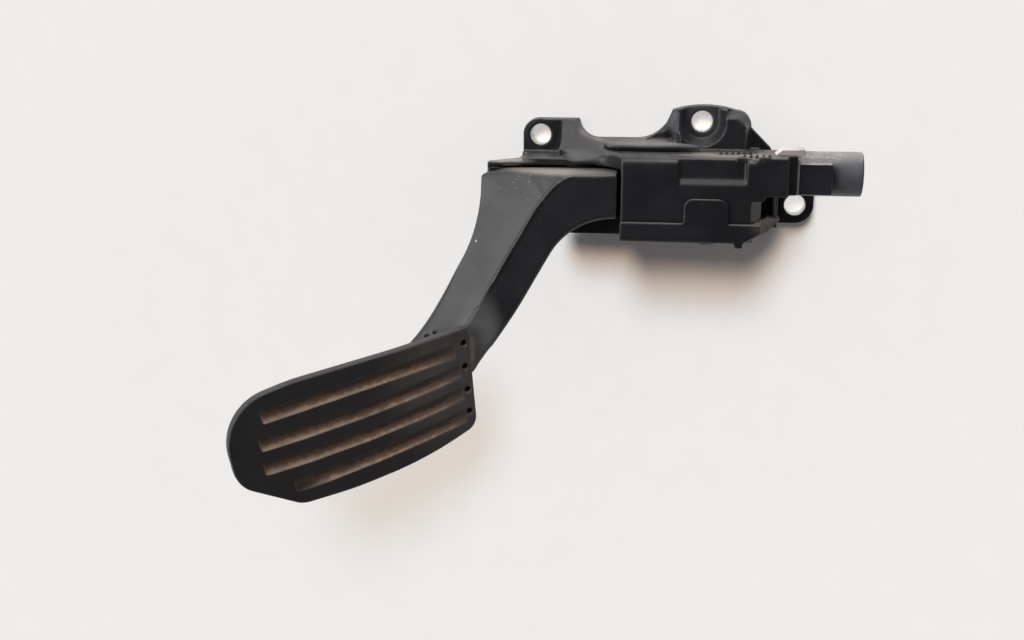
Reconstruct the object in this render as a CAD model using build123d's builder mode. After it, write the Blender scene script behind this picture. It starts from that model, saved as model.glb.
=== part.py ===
"""Electronic accelerator pedal: sensor housing, side cover, swinging arm and grooved foot pad.

Frame, in millimetres: the origin lies on the mounting plane, on the axis of the left mounting hole.
+Z points away from the bulkhead, +X runs towards the connector, +Y away from the driver's foot.
The pivot axis is parallel to Y, and the pad is modelled at idle, with the arm on its stop.
"""

import os
from math import cos, radians, sin, sqrt, tan

from build123d import *

os.makedirs("parts", exist_ok=True)

# Mounting flange
top_hole_x = 70.0
top_hole_y = 6.5
right_hole_run = 16.0
right_hole_y = -29.0
mount_bore_radius = 4.5
sleeve_wall = 1.0
ear_margin = 1.2
right_ear_margin = 2.6
left_ear_side = 7.8
left_ear_corner = 6.5
flange_thickness = 9.0
saddle_left_x = 25.5
saddle_right_x = 41.5
saddle_low_y = -1.6
saddle_left_radius = 9.0
saddle_right_radius = 16.0
top_ear_right_reach = 21.0
top_ear_corner = 6.0
top_ear_crown = 2.2
rim_height = 8.0
rim_draft = 14.0
rim_setback = 0.5
pocket_radius = 10.0
shoulder_run = 9.0
right_rib_run = 7.0
right_rib_thickness = 2.0
right_rib_height = 22.0

# Pivot
pivot_x = 19.0
pivot_z = 22.0
shaft_radius = 4.0
running_clearance = 0.05
bush_wall = 1.5
bush_length = 7.0
bearing_margin = 3.5
shaft_end_gap = 0.5
washer_radius = 8.5
washer_thickness = 0.8
washer_gap = 0.1

# Housing and cover
hub_top_y = -11.5
hub_width = 19.0
plate_thickness = 3.0
plate_left_x = -20.0
plate_front_z = 34.0
plate_tip = 5.0
plate_flare = 6.0
boss_ledge = 6.5
boss_fillet = 2.5
boss_setback = 0.5
bridge_length = 14.0
bridge_radius = 22.0
bridge_setback = 1.5
body_length = 57.5
body_front_z = 48.0
body_top_y = -5.0
body_edge_fillet = 3.0
body_side_fillet = 1.0
wall = 3.0
cover_depth = 8.5
cover_lip = 1.0
cover_corner_x = 7.0
cover_corner_y = 4.0
cover_fillet = 2.0
recess_left = 23.5
recess_right = 51.0
recess_depth = 3.0
recess_height = 8.0
tongue_left = 26.0
tongue_width = 18.0
tongue_height = 10.2
tongue_corner = 4.0
tongue_thickness = 1.2
screw_radius = 1.5
screw_head_radius = 2.8
screw_head_height = 1.8
screw_grip = 12.0
screw_boss_radius = 3.5
screw_inset = 6.0

# Arm
drum_radius = 17.0
drum_gap = 1.5
finger_gap = 1.9
arm_depth = 16.0
arm_wall = 3.0
arm_slant = 60.5
arm_reach = 41.3
shoulder_length = 8.0
bend_x = 11.2
bend_drop = 0.5
bend_radius = 18.0
ridge_fillet = 2.0
edge_chamfer = 1.2
ridge_length = 55.0
ridge_to_left = 17.0
ridge_to_right = 14.5
light_face_slope = 25.5
throat_radius = 65.0
crotch_radius = 31.0
crotch_run = 24.0
pocket_count = 3
pocket_length = 8.0
rib_thickness = 2.0

# Tail lever, springs and stop
tail_side_y = -17.5
tail_bottom_gap = 0.5
tail_top_z = 14.0
tail_thickness = 7.0
tail_margin = 2.0
spring_run = 28.5
seat_radius = 6.0
seat_thickness = 1.5
spigot_radius = 2.4
spigot_height = 4.0
outer_coil_radius = 5.2
outer_wire_radius = 0.6
outer_turns = 7.0
inner_coil_radius = 3.4
inner_wire_radius = 0.45
inner_turns = 9.0
spring_end_gap = 0.05
bumper_radius = 4.0
stop_gap = 0.3
rotor_length = 18.0
rotor_height = 5.0
rotor_thickness = 1.0

# Pad, drawn along its top edge and down from it, from its upper inner corner
pad_corner_x = -25.2
pad_corner_y = -77.1
pad_corner_z = 55.1
pad_tilt = 31.8
pad_turn = 12.9
pad_thickness = 5.0
pad_length = 110.5
pad_left_height = 33.0
pad_height = 50.0
pad_inner_height = 44.2
pad_toe_length = 86.0
pad_inner_slant = 5.5
pad_tip_radius = 20.0
pad_heel_radius = 14.0
pad_toe_radius = 10.0
pad_inner_radius = 7.0
pad_corner_radius = 2.5
pad_edge_radius = 1.0
groove_count = 4
groove_pitch = 10.8
groove_first = 8.0
groove_width = 4.2
groove_depth = 1.6
groove_corner = 0.8
groove_start = 6.0
groove_margin = 13.5
dimple_radius = 1.4
dimple_depth = 2.6
dimple_inset = 3.5
dimple_rise = 1.5
neck_margin = 1.3
neck_top_length = 28.5
neck_side_length = 20.0
neck_toe_length = 33.0
neck_toe_drop = 14.0
neck_heel_length = 20.0
neck_heel_drop = 28.0
spine_places = (8.0, 20.0)
spine_start = 14.0
spine_thickness = 3.0
spine_length = 92.0
spine_depth = 18.0
spine_tip = 2.5

# Sensor and connector
board_thickness = 1.6
board_length = 41.0
board_margin = 1.0
board_bottom_z = 13.0
board_top_z = 36.0
board_post_radius = 2.0
board_post_inset = 4.0
chip_size = 5.0
chip_height = 1.4
chip_inset = 12.0
chip_spacing = 9.0
terminal_count = 6
terminal_pitch = 2.2
terminal_size = 0.8
terminal_overlap = 6.0
terminal_exposed = 12.0
terminal_clearance = 0.05
connector_z = 30.0
base_length = 10.0
base_rise = 0.5
connector_offset = 0.75
base_height = 17.5
base_back_z = 16.0
collar_depth = 26.4
collar_length = 4.0
collar_margin = 0.8
gasket_thickness = 1.0
gasket_margin = 0.4
spigot_clearance = 0.15
socket_window_height = 7.0
socket_window_depth = 15.0
socket_length = 25.8
socket_floor = 3.0
socket_radius = 9.2
socket_wall = 1.5
socket_chamfer = 0.4
key_length = 13.0
key_height = 14.6
key_proud = 2.0
spigot_setback = 1.0
latch_reach = 4.0
latch_rise = 1.4
latch_gap = 0.4
latch_width = 10.0

# Levels and stations that follow from the sizes above
sleeve_radius = mount_bore_radius + sleeve_wall
ear_radius = sleeve_radius + ear_margin
boss_end_y = ear_radius - boss_setback
top_ear_high_y = top_hole_y + ear_radius
top_ear_end_y = top_ear_high_y - top_ear_crown
top_ear_right_x = top_hole_x + top_ear_right_reach
right_ear_radius = sleeve_radius + right_ear_margin
right_ear_low_y = right_hole_y - right_ear_radius
right_ear_high_y = right_hole_y + 2 * right_ear_radius
saddle_left_y = saddle_low_y + saddle_left_radius
saddle_right_y = saddle_low_y + saddle_right_radius
saddle_start_x = saddle_left_x - sqrt(saddle_left_radius**2 - (saddle_left_y - ear_radius) ** 2)
saddle_end_x = saddle_right_x + sqrt(saddle_right_radius**2 - (saddle_right_y - top_ear_end_y) ** 2)
bush_bore_radius = shaft_radius + running_clearance
bush_radius = bush_bore_radius + bush_wall
bearing_radius = bush_radius + bearing_margin
boss_front_z = pivot_z + bearing_radius
washer_space = washer_thickness + 2 * washer_gap
plate_bottom_y = hub_top_y + washer_space
hub_bottom_y = hub_top_y - hub_width
finger_top_y = hub_bottom_y - washer_space
cover_outer_y = finger_top_y - cover_depth
drum_right_x = pivot_x + drum_radius
body_left_x = drum_right_x + drum_gap
body_right_x = body_left_x + body_length
bridge_left_x = body_left_x - bridge_length
right_hole_x = body_right_x + right_hole_run
right_ear_right_x = right_hole_x + right_ear_radius
right_rib_x = body_right_x + right_rib_run
cavity_top_y = body_top_y - wall
cavity_right_x = body_right_x - wall
cavity_front_z = body_front_z - wall
cover_inner_y = cover_outer_y + wall
cover_front_z = body_front_z + cover_lip
base_right_x = body_right_x + base_length
collar_right_x = base_right_x + collar_length
shroud_left_x = collar_right_x + gasket_thickness
base_top_y = body_top_y + base_rise
connector_y = base_top_y - base_height / 2 + connector_offset
latch_low_y = connector_y + socket_radius + latch_gap
board_top_y = connector_y - terminal_size / 2
board_right = cavity_right_x - board_margin
board_left = board_right - board_length
chip_x = board_left + chip_inset
terminal_left_x = board_right - terminal_overlap
terminal_right_x = shroud_left_x + socket_floor + terminal_exposed
arm_back_z = boss_front_z + finger_gap
arm_front_z = arm_back_z + arm_depth
arm_left_x = pivot_x - arm_reach
tail_bottom_z = tail_top_z - tail_thickness
tail_low_y = hub_bottom_y + tail_bottom_gap
spring_x = body_left_x + spring_run
spring_y = (tail_side_y + tail_low_y) / 2
spring_foot_z = tail_top_z + seat_thickness
screw_places = (
    (body_left_x + screw_inset, body_front_z - screw_inset),
    (body_right_x - screw_inset, body_front_z - screw_inset),
    (body_right_x - screw_inset, wall + screw_inset),
)

# The ridge runs from the bend corner down the arm. Across it, left is positive.
ridge_x = -cos(radians(arm_slant))
ridge_y = -sin(radians(arm_slant))
bend_y = hub_top_y - bend_drop
station_x = bend_x + ridge_length * ridge_x
station_y = bend_y + ridge_length * ridge_y
left_x = station_x + ridge_to_left * ridge_y
left_y = station_y - ridge_to_left * ridge_x
right_x = station_x - ridge_to_right * ridge_y
right_y = station_y + ridge_to_right * ridge_x
left_drop = ridge_to_left * tan(radians(light_face_slope))
pocket_drop = arm_wall * tan(radians(light_face_slope))
roof_spread = arm_depth / tan(radians(light_face_slope))
roof_span = 2 * ridge_length + arm_reach
bend_half = radians(arm_slant) / 2
station_plane = Plane(
    origin=(station_x, station_y, 0),
    x_dir=(ridge_y, -ridge_x, 0),
    z_dir=(-ridge_x, -ridge_y, 0),
)

# The pad's plane: x along its top edge, y down its face, z out of it.
pad_plane = Plane(
    origin=(pad_corner_x, pad_corner_y, pad_corner_z),
    x_dir=(
        -cos(radians(pad_turn)) * cos(radians(pad_tilt)),
        -sin(radians(pad_turn)),
        cos(radians(pad_turn)) * sin(radians(pad_tilt)),
    ),
    z_dir=(sin(radians(pad_tilt)), 0, cos(radians(pad_tilt))),
)
pad_back_plane = pad_plane.offset(-pad_thickness)

hub_plane = Plane.XZ.offset(-hub_top_y)
plate_plane = Plane.XZ.offset(-plate_bottom_y)
finger_plane = Plane.XZ.offset(-finger_top_y)
cavity_plane = Plane.XZ.offset(-cavity_top_y)
corner = (Align.MIN, Align.MIN)

# Upper bearing boss between the left ear and the saddle, sloped from the ear's top to its front
with BuildPart() as bearing_boss:
    with BuildSketch():
        with Locations((pivot_x - bearing_radius, plate_bottom_y)):
            Rectangle(2 * bearing_radius, saddle_low_y - plate_bottom_y, align=corner)
            Rectangle(saddle_left_x - pivot_x + bearing_radius, boss_end_y - plate_bottom_y, align=corner)
        with Locations((saddle_left_x, saddle_left_y)):
            Circle(saddle_left_radius, mode=Mode.SUBTRACT)
    extrude(amount=boss_front_z)
    with BuildSketch(Plane.YZ.offset(pivot_x - bearing_radius)):
        Polygon(
            (plate_bottom_y + boss_ledge, boss_front_z),
            (boss_end_y, flange_thickness),
            (boss_end_y, boss_front_z),
            align=None,
        )
    extrude(amount=2 * bearing_radius, mode=Mode.SUBTRACT)
    slope_middle = (
        pivot_x - bearing_radius / 2,
        (plate_bottom_y + boss_ledge + boss_end_y) / 2,
        (boss_front_z + flange_thickness) / 2,
    )
    slope = bearing_boss.faces().sort_by_distance(slope_middle)[0]
    fillet(slope.edges().filter_by(GeomType.LINE, reverse=True), boss_fillet)
bearing_boss.part.label = "bearing_boss"

# Housing: body, flange with its ears, upper bearing plate and connector base
with BuildPart() as housing:
    with BuildSketch():
        with Locations((body_left_x, finger_top_y)):
            Rectangle(body_length, body_top_y - finger_top_y, align=corner)
    extrude(amount=body_front_z)
    front_edges = housing.faces().sort_by(Axis.Z)[-1].edges()
    fillet(front_edges.sort_by(Axis.Y)[-1], body_edge_fillet)
    fillet(housing.faces().sort_by(Axis.Z)[-1].edges().sort_by(Axis.X)[0], body_side_fillet)
    # Flange with three ears and the saddle between the upper two
    with BuildSketch():
        with BuildLine():
            Polyline(
                (body_right_x, right_ear_low_y),
                (body_right_x, finger_top_y),
                (body_right_x - wall, finger_top_y),
                (body_right_x - wall, plate_bottom_y),
                (-left_ear_side, plate_bottom_y),
                (-left_ear_side, ear_radius - left_ear_corner),
            )
            RadiusArc(
                (-left_ear_side, ear_radius - left_ear_corner),
                (left_ear_corner - left_ear_side, ear_radius),
                left_ear_corner,
            )
            Line((left_ear_corner - left_ear_side, ear_radius), (saddle_start_x, ear_radius))
            RadiusArc(
                (saddle_start_x, ear_radius), (saddle_left_x, saddle_low_y), -saddle_left_radius
            )
            Line((saddle_left_x, saddle_low_y), (saddle_right_x, saddle_low_y))
            RadiusArc(
                (saddle_right_x, saddle_low_y), (saddle_end_x, top_ear_end_y), -saddle_right_radius
            )
            ThreePointArc(
                (saddle_end_x, top_ear_end_y),
                ((saddle_end_x + top_ear_right_x - top_ear_corner) / 2, top_ear_high_y),
                (top_ear_right_x - top_ear_corner, top_ear_end_y),
            )
            RadiusArc(
                (top_ear_right_x - top_ear_corner, top_ear_end_y),
                (top_ear_right_x, top_ear_end_y - top_ear_corner),
                top_ear_corner,
            )
            Polyline(
                (top_ear_right_x, top_ear_end_y - top_ear_corner),
                (top_ear_right_x, body_top_y + shoulder_run),
                (top_ear_right_x + shoulder_run, body_top_y),
                (top_ear_right_x + shoulder_run, right_ear_high_y),
                (right_ear_right_x, right_ear_high_y),
                (right_ear_right_x, right_hole_y),
            )
            RadiusArc(
                (right_ear_right_x, right_hole_y), (right_hole_x, right_ear_low_y), right_ear_radius
            )
            Line((right_hole_x, right_ear_low_y), (body_right_x, right_ear_low_y))
        make_face()
    extrude(amount=flange_thickness)
    # Upper bearing plate and the floor under the hub
    with BuildSketch(plate_plane):
        Polygon(
            (plate_left_x, plate_front_z),
            (plate_left_x, plate_front_z - plate_tip),
            (-left_ear_side, plate_front_z - plate_tip - plate_flare),
            (-left_ear_side, 0),
            (body_left_x, 0),
            (body_left_x, plate_front_z),
            align=None,
        )
    extrude(amount=-plate_thickness)
    with BuildSketch():
        with Locations((-left_ear_side, cover_outer_y)):
            Rectangle(body_left_x + left_ear_side, plate_bottom_y - cover_outer_y, align=corner)
    extrude(amount=wall)
    add(bearing_boss.part)
    with BuildSketch(plate_plane):
        with BuildLine():
            Polyline(
                (bridge_left_x, boss_front_z),
                (bridge_left_x, 0),
                (body_left_x, 0),
                (body_left_x, body_front_z - bridge_setback),
            )
            RadiusArc(
                (body_left_x, body_front_z - bridge_setback),
                (bridge_left_x, boss_front_z),
                bridge_radius,
            )
        make_face()
    extrude(amount=plate_bottom_y - body_top_y)
    # Raised rim of the top ear, open upwards round its hole
    with BuildSketch(Plane.XY.offset(flange_thickness)):
        with Locations((saddle_end_x, body_top_y - wall)):
            Rectangle(
                top_ear_right_x - rim_setback - saddle_end_x,
                top_ear_end_y - rim_setback - body_top_y + wall,
                align=corner,
            )
    extrude(amount=rim_height, taper=rim_draft)
    with BuildSketch(Plane.XY.offset(flange_thickness)):
        with Locations((top_hole_x, top_hole_y)):
            Circle(pocket_radius)
        with Locations((top_hole_x - pocket_radius, top_hole_y)):
            Rectangle(2 * pocket_radius, 2 * pocket_radius, align=corner)
    extrude(amount=rim_height, mode=Mode.SUBTRACT)
    # Connector base with its collar and latch, and the rib beside the right ear
    with BuildSketch(Plane.YZ.offset(cavity_right_x)):
        with Locations((base_top_y - base_height, base_back_z)):
            Rectangle(base_height, body_front_z - base_back_z, align=corner)
    extrude(amount=base_right_x - cavity_right_x)
    with BuildSketch(Plane.YZ.offset(base_right_x)):
        with Locations((base_top_y - base_height / 2, connector_z)):
            Rectangle(base_height + 2 * collar_margin, collar_depth)
    extrude(amount=collar_length)
    with BuildSketch(Plane.XY.offset(connector_z - latch_width / 2)):
        Polygon(
            (base_right_x, base_top_y),
            (base_right_x, latch_low_y + latch_rise),
            (collar_right_x, latch_low_y + latch_rise),
            (collar_right_x + latch_reach, latch_low_y + latch_rise / 2),
            (collar_right_x + latch_reach, latch_low_y),
            (collar_right_x, latch_low_y),
            (collar_right_x, base_top_y),
            align=None,
        )
    extrude(amount=latch_width)
    with BuildSketch():
        with Locations((right_rib_x, right_hole_y)):
            Rectangle(right_rib_thickness, 2 * right_ear_radius)
    extrude(amount=right_rib_height)
    # Cavity, open towards the hub and towards the cover
    with BuildSketch(cavity_plane):
        with Locations((body_left_x, wall)):
            Rectangle(body_length - wall, cavity_front_z - wall, align=corner)
    extrude(amount=cavity_top_y - finger_top_y, mode=Mode.SUBTRACT)
    # Screw bosses, board posts and the springs' upper spigot
    with BuildSketch(cavity_plane):
        with Locations(*screw_places):
            Circle(screw_boss_radius)
    extrude(amount=cavity_top_y - finger_top_y)
    with BuildSketch(cavity_plane):
        with Locations(
            (board_left + board_post_inset, board_top_z - board_post_inset),
            (board_left + board_post_inset, board_bottom_z + board_post_inset),
        ):
            Circle(board_post_radius)
    extrude(amount=cavity_top_y - board_top_y)
    with BuildSketch(Plane.XY.offset(cavity_front_z)):
        with Locations((spring_x, spring_y)):
            Circle(spigot_radius)
    extrude(amount=-spigot_height)
    # Recess in the front face, its lower side sloped into a ledge
    with BuildSketch(Plane.YZ.offset(body_left_x + recess_left)):
        Polygon(
            (body_top_y, body_front_z),
            (body_top_y - recess_height - recess_depth, body_front_z),
            (body_top_y - recess_height, body_front_z - recess_depth / 2),
            (body_top_y, body_front_z - recess_depth / 2),
            align=None,
        )
    extrude(amount=recess_right - recess_left, mode=Mode.SUBTRACT)
    # Holes for the sleeves, the upper bush, the cover screws and the connector
    with BuildSketch():
        with Locations((0, 0), (top_hole_x, top_hole_y), (right_hole_x, right_hole_y)):
            Circle(sleeve_radius)
    extrude(amount=flange_thickness, mode=Mode.SUBTRACT)
    with BuildSketch(plate_plane):
        with Locations((pivot_x, pivot_z)):
            Circle(bush_radius)
    extrude(amount=-bush_length, mode=Mode.SUBTRACT)
    with BuildSketch(finger_plane):
        with Locations(*screw_places):
            Circle(screw_radius)
    extrude(amount=-screw_grip, mode=Mode.SUBTRACT)
    with BuildSketch(Plane.YZ.offset(cavity_right_x)):
        with Locations((connector_y, connector_z)):
            Rectangle(socket_window_height, socket_window_depth)
    extrude(amount=collar_right_x - cavity_right_x, mode=Mode.SUBTRACT)
housing.part.label = "housing"
export_step(housing.part, "parts/housing.step")

# Side cover: tray, tongue on the body's front and the finger that holds the lower bush
with BuildPart() as side_cover:
    with BuildSketch():
        Polygon(
            (body_left_x, finger_top_y),
            (body_right_x, finger_top_y),
            (body_right_x, cover_outer_y + cover_corner_y),
            (body_right_x - cover_corner_x, cover_outer_y),
            (body_left_x, cover_outer_y),
            align=None,
        )
    extrude(amount=cover_front_z)
    fillet(side_cover.faces().sort_by(Axis.Z)[-1].edges().sort_by(Axis.Y)[:2], cover_fillet)
    with BuildSketch(finger_plane):
        with Locations((body_left_x + wall, wall)):
            Rectangle(body_length - 2 * wall, cavity_front_z - wall, align=corner)
    extrude(amount=finger_top_y - cover_inner_y, mode=Mode.SUBTRACT)
    with BuildSketch(finger_plane):
        with Locations(*screw_places):
            Circle(screw_boss_radius)
    extrude(amount=cover_depth)
    with BuildSketch(finger_plane):
        with Locations((pivot_x, pivot_z)):
            Circle(bearing_radius)
        with Locations((pivot_x, pivot_z - bearing_radius)):
            Rectangle(body_left_x + wall - pivot_x, 2 * bearing_radius, align=corner)
    extrude(amount=cover_depth)
    with BuildSketch(Plane.XY.offset(body_front_z)):
        with Locations((body_left_x + tongue_left, finger_top_y)):
            Rectangle(tongue_width, tongue_height, align=corner)
        tongue_top = vertices().group_by(Axis.Y)[-1]
        fillet(tongue_top, tongue_corner)
    extrude(amount=tongue_thickness)
    with BuildSketch(finger_plane):
        with Locations((pivot_x, pivot_z)):
            Circle(bush_radius)
    extrude(amount=bush_length, mode=Mode.SUBTRACT)
    with BuildSketch(finger_plane):
        with Locations(*screw_places):
            Circle(screw_radius)
    extrude(amount=cover_depth, mode=Mode.SUBTRACT)
    with BuildSketch(Plane.XZ.offset(-cover_outer_y)):
        with Locations(*screw_places):
            Circle(screw_head_radius)
    extrude(amount=-screw_head_height, mode=Mode.SUBTRACT)
side_cover.part.label = "side_cover"
export_step(side_cover.part, "parts/side_cover.step")

# Steel sleeves in the mounting ears
sleeve_places = {
    "mount_sleeve_left": (0, 0),
    "mount_sleeve_top": (top_hole_x, top_hole_y),
    "mount_sleeve_right": (right_hole_x, right_hole_y),
}
for sleeve_name, sleeve_place in sleeve_places.items():
    with BuildPart() as mount_sleeve:
        with BuildSketch():
            with Locations(sleeve_place):
                Circle(sleeve_radius)
                Circle(mount_bore_radius, mode=Mode.SUBTRACT)
        extrude(amount=flange_thickness)
    mount_sleeve.part.label = sleeve_name
    export_step(mount_sleeve.part, f"parts/{sleeve_name}.step")

# Cover screws: one piece per boss, kept as one group
with BuildPart() as cover_screws:
    with BuildSketch(Plane.XZ.offset(-cover_outer_y)):
        with Locations(*screw_places):
            Circle(screw_head_radius)
    extrude(amount=-screw_head_height)
    with BuildSketch(Plane.XZ.offset(-cover_outer_y)):
        with Locations(*screw_places):
            Circle(screw_radius)
    extrude(amount=-cover_depth - screw_grip)
    with BuildSketch(Plane.XZ.offset(-cover_outer_y)):
        with Locations(*screw_places):
            RegularPolygon(screw_radius, 6)
    extrude(amount=-screw_head_height / 2, mode=Mode.SUBTRACT)
cover_screws.part.label = "cover_screws"
export_step(cover_screws.part, "parts/cover_screws.step")

# Bushes and thrust washers each side of the hub
bush_planes = {"upper_bush": (plate_plane, -bush_length), "lower_bush": (finger_plane, bush_length)}
for bush_name, (bush_plane, bush_reach) in bush_planes.items():
    with BuildPart() as bush:
        with BuildSketch(bush_plane):
            with Locations((pivot_x, pivot_z)):
                Circle(bush_radius)
                Circle(bush_bore_radius, mode=Mode.SUBTRACT)
        extrude(amount=bush_reach)
    bush.part.label = bush_name
    export_step(bush.part, f"parts/{bush_name}.step")

washer_levels = {
    "upper_thrust_washer": plate_bottom_y - washer_gap,
    "lower_thrust_washer": hub_bottom_y - washer_gap,
}
for washer_name, washer_level in washer_levels.items():
    with BuildPart() as thrust_washer:
        with BuildSketch(Plane.XZ.offset(-washer_level)):
            with Locations((pivot_x, pivot_z)):
                Circle(washer_radius)
                Circle(bush_bore_radius, mode=Mode.SUBTRACT)
        extrude(amount=washer_thickness)
    thrust_washer.part.label = washer_name
    export_step(thrust_washer.part, f"parts/{washer_name}.step")

# Pivot shaft, fixed in the hub
shaft_top_y = plate_bottom_y + bush_length - shaft_end_gap
shaft_bottom_y = finger_top_y - bush_length + shaft_end_gap
with BuildPart() as pivot_shaft:
    with BuildSketch(Plane.XZ.offset(-shaft_top_y)):
        with Locations((pivot_x, pivot_z)):
            Circle(shaft_radius)
    extrude(amount=shaft_top_y - shaft_bottom_y)
pivot_shaft.part.label = "pivot_shaft"
export_step(pivot_shaft.part, "parts/pivot_shaft.step")

# Neck from the arm's last section to the pad's back, corner by corner: ridge, left edge, left back,
# right back, and the two ends of the right edge's chamfer
neck_start = [
    station_plane.from_local_coords(point)
    for point in (
        (0, arm_front_z),
        (ridge_to_left, arm_front_z - left_drop),
        (ridge_to_left, arm_back_z),
        (-ridge_to_right, arm_back_z),
        (-ridge_to_right, arm_front_z - edge_chamfer),
        (edge_chamfer - ridge_to_right, arm_front_z),
    )
]
neck_end = [
    pad_back_plane.from_local_coords(point)
    for point in (
        (neck_margin, neck_margin),
        (neck_top_length, neck_margin),
        (neck_toe_length, neck_toe_drop),
        (neck_heel_length, neck_heel_drop),
        (neck_margin + pad_inner_slant / 2 + edge_chamfer, neck_side_length + edge_chamfer),
        (neck_margin + pad_inner_slant / 2, neck_side_length),
    )
]
with BuildPart() as neck:
    neck_faces = [Face(Wire.make_polygon(neck_start)), Face(Wire.make_polygon(neck_end))]
    for here in range(len(neck_start)):
        start_edge = Edge.make_line(neck_start[here - 1], neck_start[here])
        end_edge = Edge.make_line(neck_end[here - 1], neck_end[here])
        neck_faces.append(Face.make_surface_from_curves(start_edge, end_edge))
    add(Solid(Shell(neck_faces)))
neck.part.label = "neck"

# Pedal arm: a roof of a flat dark face and a sloped light face, hollow behind, with the hub drum,
# the tail lever and the neck that carries the pad
with BuildPart() as pedal_arm:
    with BuildSketch(Plane.XY.offset(arm_back_z)):
        with BuildLine():
            Line((left_x, left_y), (right_x, right_y))
            Line(
                (right_x, right_y),
                (right_x - crotch_run * ridge_x, right_y - crotch_run * ridge_y),
            )
            RadiusArc(
                (right_x - crotch_run * ridge_x, right_y - crotch_run * ridge_y),
                (drum_right_x, hub_bottom_y),
                crotch_radius,
            )
            Line((drum_right_x, hub_bottom_y), (drum_right_x, hub_top_y))
            Line((drum_right_x, hub_top_y), (arm_left_x, hub_top_y))
            Line((arm_left_x, hub_top_y), (arm_left_x, hub_top_y - shoulder_length))
            RadiusArc(
                (arm_left_x, hub_top_y - shoulder_length), (left_x, left_y), throat_radius
            )
        make_face()
    extrude(amount=arm_depth)
    for roof_z, spread in ((arm_front_z, 0), (arm_back_z, roof_spread)):
        with BuildSketch(Plane.XY.offset(roof_z)):
            roof_bend = (bend_x - spread * tan(bend_half), bend_y + spread)
            Polygon(
                roof_bend,
                (bend_x + roof_span, bend_y + spread),
                (bend_x + roof_span, bend_y + roof_span * ridge_y),
                (
                    bend_x + roof_span * ridge_x + spread * ridge_y,
                    bend_y + roof_span * ridge_y - spread * ridge_x,
                ),
                align=None,
            )
            fillet(vertices().sort_by_distance(roof_bend)[0], bend_radius + spread)
    loft(ruled=True, mode=Mode.INTERSECT)
    flat_face = pedal_arm.faces().sort_by(Axis.Z)[-1]
    ridge_edges = flat_face.edges().sort_by_distance((bend_x, bend_y, arm_front_z))[:3]
    fillet(ridge_edges, ridge_fillet)
    crotch_start = (right_x - crotch_run * ridge_x, right_y - crotch_run * ridge_y, arm_front_z)
    chamfer(pedal_arm.edges().sort_by_distance(crotch_start)[:2], edge_chamfer)
    with BuildSketch(hub_plane):
        with Locations((pivot_x, pivot_z)):
            Circle(drum_radius)
    extrude(amount=hub_width)
    with BuildSketch(Plane.XZ.offset(-tail_side_y)):
        Polygon(
            (pivot_x, pivot_z + drum_radius / 2),
            (spring_x - seat_radius - tail_margin, tail_top_z),
            (spring_x + seat_radius + tail_margin, tail_top_z),
            (spring_x + seat_radius + tail_margin, tail_bottom_z),
            (pivot_x, tail_bottom_z),
            align=None,
        )
    extrude(amount=tail_side_y - tail_low_y)
    add(neck.part)
    # Spines along the pad's back
    for spine_drop in spine_places:
        spine_plane = Plane(
            origin=pad_back_plane.from_local_coords((0, spine_drop, 0)),
            x_dir=pad_plane.x_dir,
            z_dir=pad_plane.y_dir,
        )
        with BuildSketch(spine_plane):
            Polygon(
                (spine_start, 0),
                (spine_length, 0),
                (spine_length, spine_tip),
                (neck_heel_length, spine_depth),
                (spine_start, spine_tip),
                align=None,
            )
        extrude(amount=spine_thickness)
    # Pockets behind the two faces, with ribs between them
    for pocket in range(pocket_count):
        with BuildSketch(station_plane.offset(pocket * (pocket_length + rib_thickness))):
            Polygon(
                (0, arm_front_z - arm_wall),
                (ridge_to_left - arm_wall, arm_front_z - left_drop - arm_wall + pocket_drop),
                (ridge_to_left - arm_wall, arm_back_z),
                (arm_wall - ridge_to_right, arm_back_z),
                (arm_wall - ridge_to_right, arm_front_z - arm_wall),
                align=None,
            )
        extrude(amount=pocket_length, mode=Mode.SUBTRACT)
    with BuildSketch(hub_plane):
        with Locations((pivot_x, pivot_z)):
            Circle(shaft_radius)
    extrude(amount=hub_width, mode=Mode.SUBTRACT)
pedal_arm.part.label = "pedal_arm"
export_step(pedal_arm.part, "parts/pedal_arm.step")

# Pad: a plate with grooves, and a dimple at the inner end of each
with BuildPart() as pedal_pad:
    with BuildSketch(pad_back_plane):
        Polygon(
            (0, 0),
            (pad_length, 0),
            (pad_length, pad_left_height),
            (pad_toe_length, pad_height),
            (pad_inner_slant, pad_inner_height),
            align=None,
        )
        for place, radius in (
            ((0, 0), pad_corner_radius),
            ((pad_length, 0), pad_tip_radius),
            ((pad_length, pad_left_height), pad_heel_radius),
            ((pad_toe_length, pad_height), pad_toe_radius),
            ((pad_inner_slant, pad_inner_height), pad_inner_radius),
        ):
            fillet(vertices().sort_by_distance(place)[0], radius)
    extrude(amount=pad_thickness)
    pad_face = pedal_pad.faces().sort_by_distance(pad_plane.origin + pad_plane.z_dir * pad_length)[0]
    fillet(pad_face.edges(), pad_edge_radius)
    for groove in range(groove_count):
        drop = groove_first + groove * groove_pitch
        inner_edge = pad_inner_slant * drop / pad_inner_height
        toe_cut = max(0, drop - pad_left_height) * (pad_length - pad_toe_length)
        outer_edge = pad_length - toe_cut / (pad_height - pad_left_height)
        start = inner_edge + groove_start
        end = outer_edge - groove_margin
        with BuildSketch(pad_plane):
            with Locations(((start + end) / 2, drop)):
                RectangleRounded(end - start, groove_width, groove_corner)
        extrude(amount=-groove_depth, mode=Mode.SUBTRACT)
        with BuildSketch(pad_plane):
            with Locations((inner_edge + dimple_inset, drop - dimple_rise)):
                Circle(dimple_radius)
        extrude(amount=-dimple_depth, mode=Mode.SUBTRACT)
pedal_pad.part.label = "pedal_pad"
export_step(pedal_pad.part, "parts/pedal_pad.step")

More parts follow.
